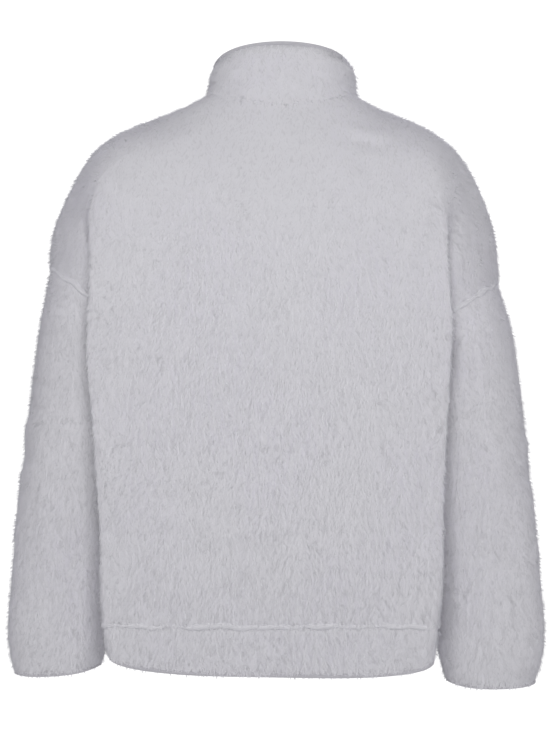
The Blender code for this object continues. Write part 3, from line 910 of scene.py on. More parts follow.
    def coats(
        self, name: str, ground: bpy.types.Mesh, seed: int,
        combed_at: Callable[[np.ndarray], tuple[np.ndarray, np.ndarray]],
    ) -> list[bpy.types.Object]:
        """Covers a ground with tufts, in as many pieces as it takes.

        Args:
            name: the pieces' name.
            ground: the mesh that the tufts stand on.
            seed: of the random numbers.
            combed_at: gives the share of its full size that the pile has at each root, and how far
                it is brushed up there.

        Returns:
            The pieces.
        """
        ground.calc_loop_triangles()
        triangles = np.empty(len(ground.loop_triangles) * 3, np.int32)
        ground.loop_triangles.foreach_get("vertices", triangles)
        draw = np.random.default_rng(seed)
        roots, normals = self.roots(points_of(ground), normals_of(ground), triangles.reshape(-1, 3), draw)
        fullness, raised = combed_at(roots)
        keep = fullness > self.least
        roots, normals, fullness, raised = (rows[keep] for rows in (roots, normals, fullness, raised))
        parts = math.ceil(len(roots) * 2 / self.most_triangles)
        order = np.argsort(-roots[:, 2], kind="stable") if parts > 1 else np.arange(len(roots))
        made = []
        for number, chosen in enumerate(np.array_split(order, parts)):
            tufts, shading = self.grow(roots[chosen], normals[chosen], fullness[chosen], raised[chosen], draw)
            label = name if parts == 1 else f"{name}_{number + 1}"
            made.append(new_piece(label, self.weave(tufts, shading)))
        return made

    @staticmethod
    def weave(tufts: np.ndarray, shading: np.ndarray) -> bpy.types.Mesh:
        """One mesh of many tufts, two triangles each, with the height along each as an attribute.

        A tuft has no underside, which would lie dark in the shadow of its own top.

        Args:
            tufts: every tuft's points, as (tufts, 4, 3).
            shading: their shading normals.

        Returns:
            The mesh.
        """
        count = len(tufts)
        first = np.arange(count)[:, None, None] * 4
        faces = (first + np.array(TUFT_FACES)[None]).reshape(-1)
        mesh = bpy.data.meshes.new("pile")
        mesh.vertices.add(count * 4)
        mesh.vertices.foreach_set("co", tufts.astype(np.float32).ravel())
        mesh.loops.add(len(faces))
        mesh.loops.foreach_set("vertex_index", faces.astype(np.int32))
        mesh.polygons.add(count * 2)
        mesh.polygons.foreach_set("loop_start", np.arange(0, len(faces), 3, dtype=np.int32))
        mesh.update(calc_edges=True)
        mesh.shade_smooth()
        mesh.normals_split_custom_set_from_vertices(shading.reshape(-1, 3).tolist())
        heights = mesh.attributes.new("height", "FLOAT", "POINT")
        heights.data.foreach_set("value", np.tile(TUFT_HEIGHTS, count).astype(np.float32))
        return mesh


@dataclass(eq=False)
class Panel:
    """One cut piece of pile cloth: its shell, its creases and its pile."""

    node: str
    cut: tuple[float, float]       # flat width and length
    area: float                    # flat area of the cut
    held: Held
    middle: tuple[float, float] = (0.0, -0.01)     # X and Y of the hollow that it stands round
    bound: float = 0.0             # up or down, to the bound edge: 1, -1, or 0 where there is none
    pile: Pile = field(default_factory=Pile)
    seed: int = 1
    sheet: bpy.types.Mesh | None = None
    cloth: bpy.types.Object | None = None
    coats: list[bpy.types.Object] = field(default_factory=list)

    def build(self, creases: tuple[Crease, ...], bindings: KDTree) -> None:
        """Makes the cloth shell on the solid's outer form, with its creases.

        Args:
            creases: every crease of the jacket; those that don't reach this panel do nothing.
            bindings: points of the bindings, which the cloth reaches into.
        """
        patch = outer_patch(self.node, self.middle)
        piece = new_piece(f"{self.node}_cloth", patch)
        round_out(piece, "PRESERVE_CORNERS")
        mesh = piece.data
        points = points_of(mesh)
        normals = normals_of(mesh)
        height = np.full(len(points), -GROUND_INSET)
        for crease in creases:
            height += crease.height_at(points, normals)
        height += UNEVEN * ripple(points * UNEVEN_DRAWN, UNEVEN_SIZE, CLOTH_SEED)
        near = smooth_step(*TUCK_REACH, distances(points, bindings)) * self.bound * TUCK
        along = np.array([0.0, 0.0, 1.0]) - normals * normals[:, 2:]
        points += normals * height[:, None] + unit(along) * near[:, None]
        place_points(mesh, points)
        self.sheet = mesh.copy()
        wall = piece.modifiers.new("wall", "SOLIDIFY")
        wall.thickness = CLOTH_THICK
        wall.offset = -1.0
        wall.material_offset = 1
        wall.material_offset_rim = 0
        mesh.materials.append(None)
        mesh.materials.append(None)
        apply_all(piece)
        piece.data.shade_smooth()
        self.cloth = piece

    def grow(self, combed_at: Callable[["Panel", np.ndarray], tuple[np.ndarray, np.ndarray]]) -> None:
        """Covers the panel with pile.

        Args:
            combed_at: gives the share of its full size that the pile has at each root, and how far
                it is brushed up there.
        """
        self.coats = self.pile.coats(
            f"{self.node}_pile", self.sheet, self.seed, lambda roots: combed_at(self, roots)
        )

    def dress(self, wardrobe: Wardrobe) -> None:
        """Gives the cloth, its backing and its pile their materials."""
        # the cloth's outer side is the pile's ground, darker as painted shade under the tufts
        self.cloth.data.materials[0] = wardrobe.ground(PILE_FINISH)
        self.cloth.data.materials[1] = wardrobe.cloth(BACKING_FINISH)
        for coat in self.coats:
            coat.data.materials.append(wardrobe.tufts(PILE_FINISH))

    def declare(self) -> None:
        """Hangs the cloth and its pile on what they ride on, and hides the cloth's solid."""
        for piece in (self.cloth, *self.coats):
            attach(piece, GARMENT)
        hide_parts(self.node)
        log.info("%s: %d coats of pile", self.node, len(self.coats))


@dataclass
class Binding:
    """The smooth knit strip that wraps an edge of the jacket."""

    node: str
    cut: tuple[float, float]       # flat width and length
    held: Held = Held.STRETCHED
    sunk: float = 0.0018           # of its outer side, under the pile's tips
    piece: bpy.types.Object | None = None

    def build(self) -> None:
        """Rounds a merged copy of the binding's solid into a rolled edge."""
        mesh = bpy.data.meshes.new(self.node)
        put_back(merged(self.node), mesh)
        mesh.materials.clear()
        self.piece = new_piece(f"{self.node}_roll", mesh)
        round_out(self.piece)
        mesh = self.piece.data
        mesh.shade_smooth()
        points = points_of(mesh)
        outward = points - points.mean(axis=0)
        outward[:, 2] = 0.0
        facing = np.clip((normals_of(mesh) * unit(outward)).sum(axis=1), 0.0, 1.0)
        points -= unit(outward) * (self.sunk * facing)[:, None]
        place_points(mesh, points)

    def dress(self, wardrobe: Wardrobe) -> None:
        """Gives the binding its knit."""
        self.piece.data.materials.append(wardrobe.cloth(BINDING_FINISH))

    def declare(self) -> None:
        """Hangs the binding on what it rides on, and hides its solid."""
        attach(self.piece, GARMENT)
        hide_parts(self.node)
        log.info("%s: rolled edge", self.node)


@dataclass
class SeamRoll:
    """The turned edge of a seam, with the fine nap that lies over it."""

    name: str
    panel: Panel
    beside: tuple[Panel, ...]
    radius: float = 0.0031
    stand: float = -0.0009         # of its middle above the ground
    meet: float = 0.004            # from the panels beside it, where there still is a seam
    sides: int = 8
    uneven: float = 0.3            # how much its radius and its middle wander
    waves: tuple[float, float] = (0.03, 0.022)     # how far apart, of the radius and of the middle
    # a hidden roll takes the ground's darker colour, painted shade under the pile
    hidden: bool = False           # under the pile
    outer_side: tuple[float, float] = (0.1, 0.5)   # from where the nap grows to where it is full
    nap: Pile = field(
        default_factory=lambda: Pile(
            per_square_metre=420000.0, length=0.0026, lift=0.0007, stray=0.0014, width=0.0010,
            ridge=0.0002, sunk=0.0001,
        )
    )
    piece: bpy.types.Object | None = None
    coats: list[bpy.types.Object] = field(default_factory=list)

    def walk(self) -> tuple[np.ndarray, np.ndarray, bool]:
        """Follows the panel's edge where it meets the panels beside it.

        Returns:
            The edge's points and normals in order, and whether it is a loop.
        """
        near = edge_tree([opened(other.sheet) for other in self.beside], False)
        work = opened(self.panel.sheet)
        kept = {v for v in work.verts if v.is_boundary and near.find(v.co)[2] < self.meet}
        nexts: dict[bmesh.types.BMVert, list[bmesh.types.BMVert]] = {}
        for edge in work.edges:
            a, b = edge.verts
            if edge.is_boundary and a in kept and b in kept:
                nexts.setdefault(a, []).append(b)
                nexts.setdefault(b, []).append(a)
        ends = [v for v, others in nexts.items() if len(others) == 1]
        path = [min(ends or nexts, key=lambda v: v.index)]
        before = None
        while True:
            onward = [v for v in nexts[path[-1]] if v is not before]
            if not onward or onward[0] is path[0]:
                break
            before = path[-1]
            path.append(onward[0])
        points = np.array([v.co for v in path])
        normals = unit(np.array([v.normal for v in path]))
        work.free()
        return points, normals, not ends

    def build(self) -> None:
        """Sweeps the roll along the seam and covers its outer side with nap."""
        points, normals, closed = self.walk()
        ahead = np.roll(points, -1, axis=0) - np.roll(points, 1, axis=0)
        if not closed:
            ahead[0], ahead[-1] = points[1] - points[0], points[-1] - points[-2]
        across = unit(np.cross(unit(ahead), normals))
        wander = 1.0 + self.uneven * ripple(points, self.waves[0], ROLL_SEED)
        strayed = self.uneven * self.radius * ripple(points, self.waves[1], ROLL_SEED + 1)
        outline = ring(self.sides)[None] * (self.radius * wander)[:, None, None]
        centres = points + normals * (self.stand * wander)[:, None] + across * strayed[:, None]
        self.piece = sweep(self.name, centres, across, normals, outline, closed)
        middles = search_tree([Vector(centre) for centre in centres])

        def combed_at(roots: np.ndarray) -> tuple[np.ndarray, np.ndarray]:
            """How full the nap is at each root, by how far out it lies, and none of it brushed up."""
            nearest = np.array([middles.find(Vector(root))[1] for root in roots])
            outward = np.sum((roots - centres[nearest]) * normals[nearest], axis=1)
            low, high = (share * self.radius for share in self.outer_side)
            return smooth_step(low, high, outward), np.zeros(len(roots))

        self.coats = self.nap.coats(f"{self.name}_nap", self.piece.data, self.nap.seed, combed_at)

    def dress(self, wardrobe: Wardrobe) -> None:
        """Gives the roll and its nap the pile's colour; a hidden roll takes the ground's colour, darkened as
        painted shade.
        """
        roll = wardrobe.ground(PILE_FINISH) if self.hidden else wardrobe.tufts(PILE_FINISH)
        self.piece.data.materials.append(roll)
        for coat in self.coats:
            coat.data.materials.append(wardrobe.tufts(PILE_FINISH))

    def declare(self) -> None:
        """Says what the roll and its nap ride on."""
        for piece in (self.piece, *self.coats):
            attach(piece, GARMENT)
        log.info("%s: seam", self.name)


class Kind(Enum):
    """What is picked out of a mesh in edit mode."""

    FACE = "faces"
    EDGE = "edges"


@contextmanager
def picked(
    piece: bpy.types.Object, kind: Kind, wanted: Callable[[bmesh.types.BMFace | bmesh.types.BMEdge], bool]
) -> Iterator[None]:
    """Holds a piece in edit mode with some of its faces or edges selected.

    Args:
        piece: the piece.
        kind: what is picked.
        wanted: says of a face or an edge whether it is selected.
    """
    select_only(piece)
    bpy.ops.object.mode_set(mode="EDIT")
    bpy.ops.mesh.select_mode(type=kind.name)
    bpy.ops.mesh.select_all(action="DESELECT")
    work = bmesh.from_edit_mesh(piece.data)
    for element in getattr(work, kind.value):
        element.select_set(wanted(element))
    bmesh.update_edit_mesh(piece.data)
    yield
    bpy.ops.object.mode_set(mode="OBJECT")


def block(name: str, size: Size, middle: tuple[float, float, float] = (0.0, 0.0, 0.0)) -> bpy.types.Object:
    """A block added at its size and place, alone in the selection."""
    bpy.ops.object.select_all(action="DESELECT")
    bpy.ops.mesh.primitive_cube_add(size=1.0, location=middle)
    piece = bpy.context.object
    piece.name = name
    piece.data.name = name
    piece.scale = size
    bpy.ops.object.transform_apply(location=True, rotation=True, scale=True)
    return piece


def round_corners(piece: bpy.types.Object, radius: float, segments: int) -> None:
    """Rounds the four edges of a block that run through its thickness."""

    def runs_through(edge: bmesh.types.BMEdge) -> bool:
        """Whether an edge lies along Y."""
        a, b = (v.co for v in edge.verts)
        return abs((b - a).normalized().y) > 0.9

    with picked(piece, Kind.EDGE, runs_through):
        bpy.ops.mesh.bevel(offset=radius, segments=segments)


def soften(piece: bpy.types.Object, width: float) -> None:
    """Bevels the sharp edges of a piece and shades it smooth."""
    edge = piece.modifiers.new("soft_edges", "BEVEL")
    edge.width = width
    edge.segments = 2
    edge.limit_method = "ANGLE"
    apply_all(piece)
    bpy.ops.object.shade_smooth_by_angle(angle=SMOOTH_TURN)


def join_pieces(first: bpy.types.Object, *others: bpy.types.Object) -> bpy.types.Object:
    """Joins pieces into the first one."""
    select_only(first)
    for other in others:
        other.select_set(True)
    bpy.ops.object.join()
    return first


def sections_of(node: str) -> np.ndarray:
    """The sections of a strip's solid from the bottom up, each with its four points."""
    work = merged(node)
    points = np.array(sorted((tuple(v.co) for v in work.verts), key=lambda p: p[2]))
    work.free()
    return points.reshape(-1, 4, 3)


def lengths_along(points: np.ndarray) -> np.ndarray:
    """How far along their line each of some points lies."""
    steps = np.linalg.norm(np.diff(points, axis=0), axis=1)
    return np.concatenate([[0.0], np.cumsum(steps)])


def read_off(places: np.ndarray | float, walked: np.ndarray, points: np.ndarray) -> np.ndarray:
    """The points at given lengths along a line."""
    return np.stack([np.interp(places, walked, points[:, k]) for k in range(3)], axis=-1)


class ZipLine:
    """The line down the front that the zip's teeth lie on, from the bottom up."""

    REACH = 0.005                  # to each side of a place, to find which way the line runs

    def __init__(self, node: str) -> None:
        """Reads the line from the chain's solid.

        Args:
            node: the chain's node.
        """
        self.points = sections_of(node).mean(axis=1)
        self.walked = lengths_along(self.points)
        self.length = self.walked[-1]

    def at(self, distance: float) -> np.ndarray:
        """The point at a distance from the bottom; past the top the line runs on straight."""
        last = self.points[-1] - self.points[-2]
        over = max(0.0, distance - self.length)
        return read_off(distance, self.walked, self.points) + last / np.linalg.norm(last) * over

    def frame(self, distance: float) -> Matrix:
        """A frame on the line: X to the wearer's left, Y into the jacket, Z up the zip."""
        ahead = self.at(distance + self.REACH) - self.at(max(0.0, distance - self.REACH))
        up = Vector(ahead).normalized()
        inward = up.cross(Vector((1.0, 0.0, 0.0))).normalized()
        if inward.y < 0:
            inward = -inward
        matrix = Matrix((inward.cross(up), inward, up)).transposed().to_4x4()
        matrix.translation = Vector(self.at(distance))
        return matrix


@dataclass(frozen=True)
class ToothSize:
    """A moulded tooth and the rows that it makes. X runs across the zip, Z along it."""

    foot_end: float = 0.0037       # from the zip's middle
    foot: float = 0.0016           # across the zip
    past_middle: float = 0.0006
    long: float = 0.0013
    thick: float = 0.0024
    neck: tuple[float, float] = (0.45, 0.62)       # share of the reach, and length beside the foot's
    head: tuple[float, float] = (0.55, 1.45)       # the same, beside the neck's
    thinner: float = 0.94          # of the neck beside the foot, and of the head beside the neck
    soft: float = 0.00028
    pitch: float = 0.0029
    rows: tuple[float, float] = (0.25, 0.75)       # where each side's first tooth is, in pitches
    above_slider: float = 0.012    # of parted teeth over the slider
    parting: float = 0.10          # how far they part, beside how far they run


@dataclass(frozen=True)
class TapeSize:
    """A woven tape with a beaded inner edge."""

    bead: float = 0.0008           # radius of the bead
    bead_turns: tuple[float, ...] = (40.0, 90.0, 150.0, 210.0, 270.0, 320.0)
    half: float = 0.0004           # of its thickness
    flat_from: float = 0.0026      # the inner edge
    edge: float = 0.0005           # over which the outer edge thins out
    step: float = 0.006
    cut: tuple[float, float] = (0.0145, 0.65)


@dataclass(frozen=True)
class SliderSize:
    """The slider's two plates, the post between them and the bail."""

    plate: Size = (0.0088, 0.0012, 0.0108)
    gap: float = 0.0032            # between the plates
    lower_end: float = 0.78        # its width, beside the upper end's
    rim: float = 0.0011
    rise: float = 0.00035
    soft: float = 0.0003
    post: tuple[float, float] = (0.0022, 0.0024)   # across the zip and along it
    post_below: float = 0.0003     # the plates' top
    post_soft: float = 0.0004
    bail: float = 0.0030           # radius of its ring
    bail_wire: float = 0.0007
    bail_flat: float = 0.88        # how far it stands out, beside a round ring


@dataclass(frozen=True)
class PullSize:
    """The pull tab with its window and its sunk grip. Heights are from the hinge's axis."""

    tab: Size = (0.0085, 0.0014, 0.0304)
    corner: float = 0.0022
    window_side: float = 0.0023    # what is left of the tab on each side of the window
    window_tall: float = 0.0040
    window_at: float = -0.0027
    window_corner: float = 0.0008
    grip_side: float = 0.0017
    grip_tall: float = 0.0150
    grip_at: float = -0.0185
    grip_out: float = 0.82         # of its cutter, beside the tab's thickness
    grip_corner: float = 0.0012
    soft: float = 0.00022


@dataclass(frozen=True)
class BoxSize:
    """The retainer box at the foot of the zip."""

    body: Size = (0.0062, 0.0024, 0.0080)
    rim: float = 0.0009
    slot: float = 0.0003
    soft: float = 0.0003


@dataclass
class Zip:
    """The closed front zip: tapes, teeth, slider, pull and retainer box."""

    tooth: ToothSize = ToothSize()
    tape: TapeSize = TapeSize()
    slider: SliderSize = SliderSize()
    pull: PullSize = PullSize()
    box: BoxSize = BoxSize()
    hinge_below: float = 0.0036    # the chain's top, where the slider's slant is read
    slider_from_hinge: tuple[float, float, float] = (0.0, 0.0040, 0.00105)
    pieces: dict[str, bpy.types.Object] = field(default_factory=dict)

    def build_tooth(self) -> bpy.types.Object:
        """One moulded tooth on the wearer's left: foot, neck and head."""
        size = self.tooth
        piece = block("tooth", (size.foot, size.thick, size.long), (size.foot_end - size.foot / 2, 0.0, 0.0))
        reach = size.foot_end - size.foot + size.past_middle
        with picked(piece, Kind.FACE, lambda f: f.normal.x < -0.9):
            for share, tall in (size.neck, size.head):
                bpy.ops.mesh.extrude_region_move(TRANSFORM_OT_translate={"value": (-reach * share, 0.0, 0.0)})
                bpy.ops.transform.resize(value=(1.0, size.thinner, tall))
        with picked(piece, Kind.EDGE, lambda e: all(v.co.y < -size.thick * 0.4 for v in e.verts)):
            bpy.ops.mesh.bevel(offset=size.soft, segments=1)
        return piece

    @staticmethod
    def copies(name: str, piece: bpy.types.Object, places: list[Matrix]) -> bpy.types.Object:
        """Joins copies of a piece, one a place, into one mesh.

        Args:
            name: the new piece's name.
            piece: the piece to copy, which is removed.
            places: where the copies go; a mirrored place is turned right side out.

        Returns:
            The joined piece.
        """
        points = points_of(piece.data)
        faces = [tuple(p.vertices) for p in piece.data.polygons]
        all_points = []
        all_faces = []
        for place in places:
            turned = np.array(place)
            first = len(all_points) * len(points)
            all_points.append(points @ turned[:3, :3].T + turned[:3, 3])
            way = -1 if place.determinant() < 0 else 1
            all_faces.extend(tuple(first + k for k in face)[::way] for face in faces)
        mesh = bpy.data.meshes.new(name)
        mesh.from_pydata(np.concatenate(all_points).tolist(), [], all_faces)
        bpy.data.objects.remove(piece)
        return new_piece(name, mesh)

    def build_teeth(self, line: ZipLine) -> None:
        """Both rows of teeth, closed below the slider and parted above it."""
        size = self.tooth
        mirrors = (Matrix.Identity(4), Matrix.Scale(-1.0, 4, (1.0, 0.0, 0.0)))
        places = []
        for row, mirror in zip(size.rows, mirrors):
            for k in range(int((line.length + size.above_slider) / size.pitch)):
                distance = (k + row) * size.pitch
                parted = max(0.0, distance - line.length) * size.parting
                places.append(line.frame(distance) @ mirror @ Matrix.Translation((parted, 0.0, 0.0)))
        teeth = self.copies("zip_teeth", self.build_tooth(), places)
        teeth.data.shade_smooth()
        select_only(teeth)
        bpy.ops.object.shade_smooth_by_angle(angle=TOOTH_TURN)
        self.pieces["teeth"] = teeth

    def build_tape(self, node: str) -> None:
        """One woven tape with a beaded inner edge, on its solid's sections."""
        size = self.tape
        rows = sections_of(node)
        order = np.argsort(np.abs(rows[..., 0]), axis=1)
        rows = np.take_along_axis(rows, order[..., None], axis=1)
        inner = rows[:, :2].mean(axis=1)
        outer = rows[:, 2:].mean(axis=1)
        walked = lengths_along(inner)
        places = np.linspace(0.0, walked[-1], int(walked[-1] / size.step) + 1)
        inner, outer = (read_off(places, walked, side) for side in (inner, outer))
        width = np.linalg.norm(outer - inner, axis=1).mean()
        across = unit(outer - inner)
        outward = unit(np.cross(unit(np.gradient(inner, axis=0)), across))
        outward *= np.where(outward[:, 1:2] > 0, -1.0, 1.0)
        turns = np.radians(size.bead_turns)
        profile = [(size.bead * (1.0 + math.cos(t)), size.bead * math.sin(t)) for t in turns]
        profile += [(size.flat_from, -size.half), (width - size.edge, -size.half), (width, 0.0)]
        profile += [(width - size.edge, size.half), (size.flat_from, size.half)]
        self.pieces[node] = sweep(f"{node}_woven", inner, across, outward, np.array(profile))

    def build_plate(self, side: float) -> bpy.types.Object:
        """One plate of the slider, on the outer side (-1) or the inner side (1) of the chain."""
        size = self.slider
        plate = block("slider_plate", size.plate, (0.0, side * (size.gap + size.plate[1]) / 2, 0.0))
        with picked(plate, Kind.FACE, lambda f: f.normal.z < -0.9):
            bpy.ops.transform.resize(value=(size.lower_end, 1.0, 1.0))
        with picked(plate, Kind.FACE, lambda f: f.normal.y * side > 0.9):
            bpy.ops.mesh.inset(thickness=size.rim, depth=size.rise)
        soften(plate, size.soft)
        return plate

    def build_bail(self) -> bpy.types.Object:
        """The ring on the slider's outer plate that the pull tab hangs on."""
        size = self.slider
        middle = Vector((0.0, -(size.gap / 2 + size.plate[1]), 0.0))
        bpy.ops.object.select_all(action="DESELECT")
        bpy.ops.mesh.primitive_torus_add(
            location=middle, rotation=(0.0, math.pi / 2, 0.0), major_radius=size.bail,
            minor_radius=size.bail_wire, major_segments=24, minor_segments=8,
        )
        bail = bpy.context.object
        bpy.ops.object.transform_apply(location=True, rotation=True, scale=True)
        flatten = Matrix.Diagonal((1.0, size.bail_flat, 1.0, 1.0))
        bail.data.transform(Matrix.Translation(middle) @ flatten @ Matrix.Translation(-middle))
        bail.data.shade_smooth()
        return bail

    def build_slider(self, place: Matrix) -> None:
        """The slider: two shaped plates, the post between them and the bail.

        Args:
            place: the slider's frame, X to the wearer's left, Y into the jacket, Z up the zip.
        """
        size = self.slider
        plates = [self.build_plate(side) for side in (-1.0, 1.0)]
        wide, tall = size.post
        height = (size.plate[2] - tall) / 2 - size.post_below
        post = block("slider_post", (wide, size.gap + size.plate[1], tall), (0.0, 0.0, height))
        soften(post, size.post_soft)
        slider = join_pieces(*plates, post, self.build_bail())
        self.keep("slider", "zip_slider_cast", slider, place)

    def build_pull(self, place: Matrix) -> None:
        """The pull tab with its window, rounded end and sunk grip.

        Args:
            place: the tab's frame, with its origin on the hinge's axis.
        """
        size = self.pull
        wide, thick, tall = size.tab
        tab = block("pull", size.tab, (0.0, 0.0, thick / 2 - tall / 2))
        round_corners(tab, size.corner, 5)
        window = block(
            "window", (wide - 2 * size.window_side, thick * 3, size.window_tall), (0.0, 0.0, size.window_at)
        )
        round_corners(window, size.window_corner, 3)
        grip = block(
            "grip", (wide - 2 * size.grip_side, thick, size.grip_tall),
            (0.0, -thick * size.grip_out, size.grip_at),
        )
        round_corners(grip, size.grip_corner, 4)
        for cutter in (window, grip):
            cut = tab.modifiers.new(cutter.name, "BOOLEAN")
            cut.operation = "DIFFERENCE"
            cut.object = cutter
        apply_all(tab)
        for cutter in (window, grip):
            bpy.data.objects.remove(cutter)
        soften(tab, size.soft)
        self.keep("pull", "zip_pull_tab", tab, place)

    def build_box(self, place: Matrix) -> None:
        """The retainer box at the foot of the zip, with its slot."""
        size = self.box
        box = block("box", size.body)
        with picked(box, Kind.FACE, lambda f: f.normal.y < -0.9):
            bpy.ops.mesh.inset(thickness=size.rim, depth=-size.slot)
        soften(box, size.soft)
        self.keep("box", "zip_box_cast", box, place)

    def keep(self, label: str, name: str, piece: bpy.types.Object, place: Matrix) -> None:
        """Moves a finished piece to its place and keeps it under a label."""
        piece.data.transform(place)
        piece.name = name
        self.pieces[label] = piece

    def build(self) -> None:
        """Builds every piece of the zip."""
        line = ZipLine("zip_chain")
        self.build_teeth(line)
        for node in ("zip_tape_left", "zip_tape_right"):
            self.build_tape(node)
        place = line.frame(line.length - self.hinge_below)
        place.translation = Vector(frame["joints"][0]["pos_m"])
        self.build_pull(place)
        self.build_slider(place @ Matrix.Translation(self.slider_from_hinge))
        low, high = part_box("zip_box")
        foot = line.frame(0.0)
        foot.translation = (low + high) / 2
        self.build_box(foot)

    def dress(self, wardrobe: Wardrobe) -> None:
        """Gives every piece its material."""
        woven = wardrobe.cloth(TAPE_FINISH)
        cast = wardrobe.hard(METAL_FINISH)
        materials = {
            "zip_tape_left": woven, "zip_tape_right": woven, "teeth": wardrobe.hard(TEETH_FINISH),
            "slider": cast, "pull": cast, "box": cast,
        }
        for label, piece in self.pieces.items():
            piece.data.materials.clear()
            piece.data.materials.append(materials[label])

    def declare(self) -> None:
        """Hangs each piece on what it rides on, hides its solid, and logs it."""
        stands = {
            "teeth": ("zip_chain", "zip_teeth", GARMENT),
            "zip_tape_left": ("zip_tape_left", "zip_tape", GARMENT),
            "zip_tape_right": ("zip_tape_right", "zip_tape", GARMENT),
            "slider": ("zip_slider", "zip_metal", GARMENT),
            "pull": ("zip_pull", "zip_metal", PULL_TAB),
            "box": ("zip_box", "zip_metal", GARMENT),
        }
        for label, (node, slot, body) in stands.items():
            piece = self.pieces[label]
            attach(piece, body)
            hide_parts(node)
            log.info("%s: on %s", piece.name, body)


@dataclass(frozen=True)
class SoftBox:
    """A square area light that faces the jacket."""

    name: str
    at: tuple[float, float, float]
    size: float
    power: float
    tint: Colour = (0.985, 0.975, 1.0)
    aim: tuple[float, float, float] = (0.0, 0.0, -0.3)

    def build(self) -> None:
        """Puts the light in its place."""
        light = bpy.data.lights.new(self.name, "AREA")
        light.shape = "SQUARE"
        light.size = self.size
        light.energy = self.power
        light.color = self.tint
        holder = bpy.data.objects.new(self.name, light)
        bpy.context.scene.collection.objects.link(holder)
        holder.location = self.at
        holder.rotation_euler = (Vector(self.aim) - Vector(self.at)).to_track_quat("-Z", "Y").to_euler()


@dataclass
class Studio:
    """The pale floor, the soft light and the camera at the photo's place."""

    camera_at: tuple[float, float, float] = (-0.0011, 4.5, -0.2862)
    lens: float = 199.45
    sensor: float = 36.0
    floor_z: float = -1.42
    floor_size: float = 60.0
    floor_colour: Colour = (0.90, 0.90, 0.91)
    floor_roughness: float = 0.9
    ambient: Colour = (0.95, 0.94, 1.0)
    ambient_strength: float = 0.285
    backdrop: float = 1.15         # strength of the white that the camera sees round the jacket
    lights: tuple[SoftBox, ...] = (
        SoftBox("key", (0.0, 2.4, 0.5), 0.9, 20.8),
        SoftBox("front_fill", (-0.4, -2.4, 0.6), 0.9, 20.5),
        SoftBox("left_side", (5.0, 0.1, 0.2), 2.4, 26.0),
        SoftBox("right_side", (-5.0, 0.1, 0.2), 2.4, 28.0),
    )

    def build(self) -> None:
        """Sets up the world, the floor, the lights and the camera."""
        settings = bpy.context.scene.view_settings
        settings.view_transform = "Standard"
        settings.look = "None"
        self.build_world()
        self.build_floor()
        for light in self.lights:
            light.build()
        self.build_camera()

    def build_camera(self) -> None:
        """The camera behind the jacket, where the photo was taken from."""
        camera = bpy.data.cameras.new("photo_camera")
        camera.lens = self.lens
        camera.sensor_width = self.sensor
        holder = bpy.data.objects.new("photo_camera", camera)
        bpy.context.scene.collection.objects.link(holder)
        holder.location = self.camera_at
        holder.rotation_euler = (math.pi / 2, 0.0, math.pi)
        bpy.context.scene.camera = holder

    def whiten(self, bench: NodeBench, kind: str, lit: bpy.types.Node, end: str) -> None:
        """Shows the camera a plain white, and leaves the light to another shader.

        Args:
            bench: the bench of the world's or the floor's tree.
            kind: the node that gives the white.
            lit: the shader that every other ray sees.
            end: the name of the tree's output node.
        """
        white = bench.add(kind, Color=(1.0, 1.0, 1.0), Strength=self.backdrop)
        rays = bench.add("ShaderNodeLightPath")
        bench.blend(rays.outputs["Is Camera Ray"], lit, white, bench.tree.nodes[end])

    def build_world(self) -> None:
        """A white backdrop that lights the jacket softly from everywhere."""
        world = bpy.data.worlds.new("studio")
        world.use_nodes = True
        bpy.context.scene.world = world
        bench = NodeBench(world.node_tree)
        lighting = world.node_tree.nodes["Background"]
        bench.fill(lighting, Color=self.ambient, Strength=self.ambient_strength)
        self.whiten(bench, "ShaderNodeBackground", lighting, "World Output")

    def build_floor(self) -> None:
        """A pale floor, far below the hanging jacket."""
        bpy.ops.object.select_all(action="DESELECT")
        bpy.ops.mesh.primitive_plane_add(size=self.floor_size, location=(0.0, 0.0, self.floor_z))
        floor = bpy.context.object
        floor.name = "floor"
        bpy.ops.object.transform_apply(location=True, rotation=True, scale=True)
        material = bpy.data.materials.new("floor_paint")
        material.use_nodes = True
        bench = NodeBench(material.node_tree)
        paint = material.node_tree.nodes["Principled BSDF"]
        bench.fill(paint, Base_Color=self.floor_colour, Roughness=self.floor_roughness)
        self.whiten(bench, "ShaderNodeEmission", paint, "Material Output")
        floor.data.materials.append(material)


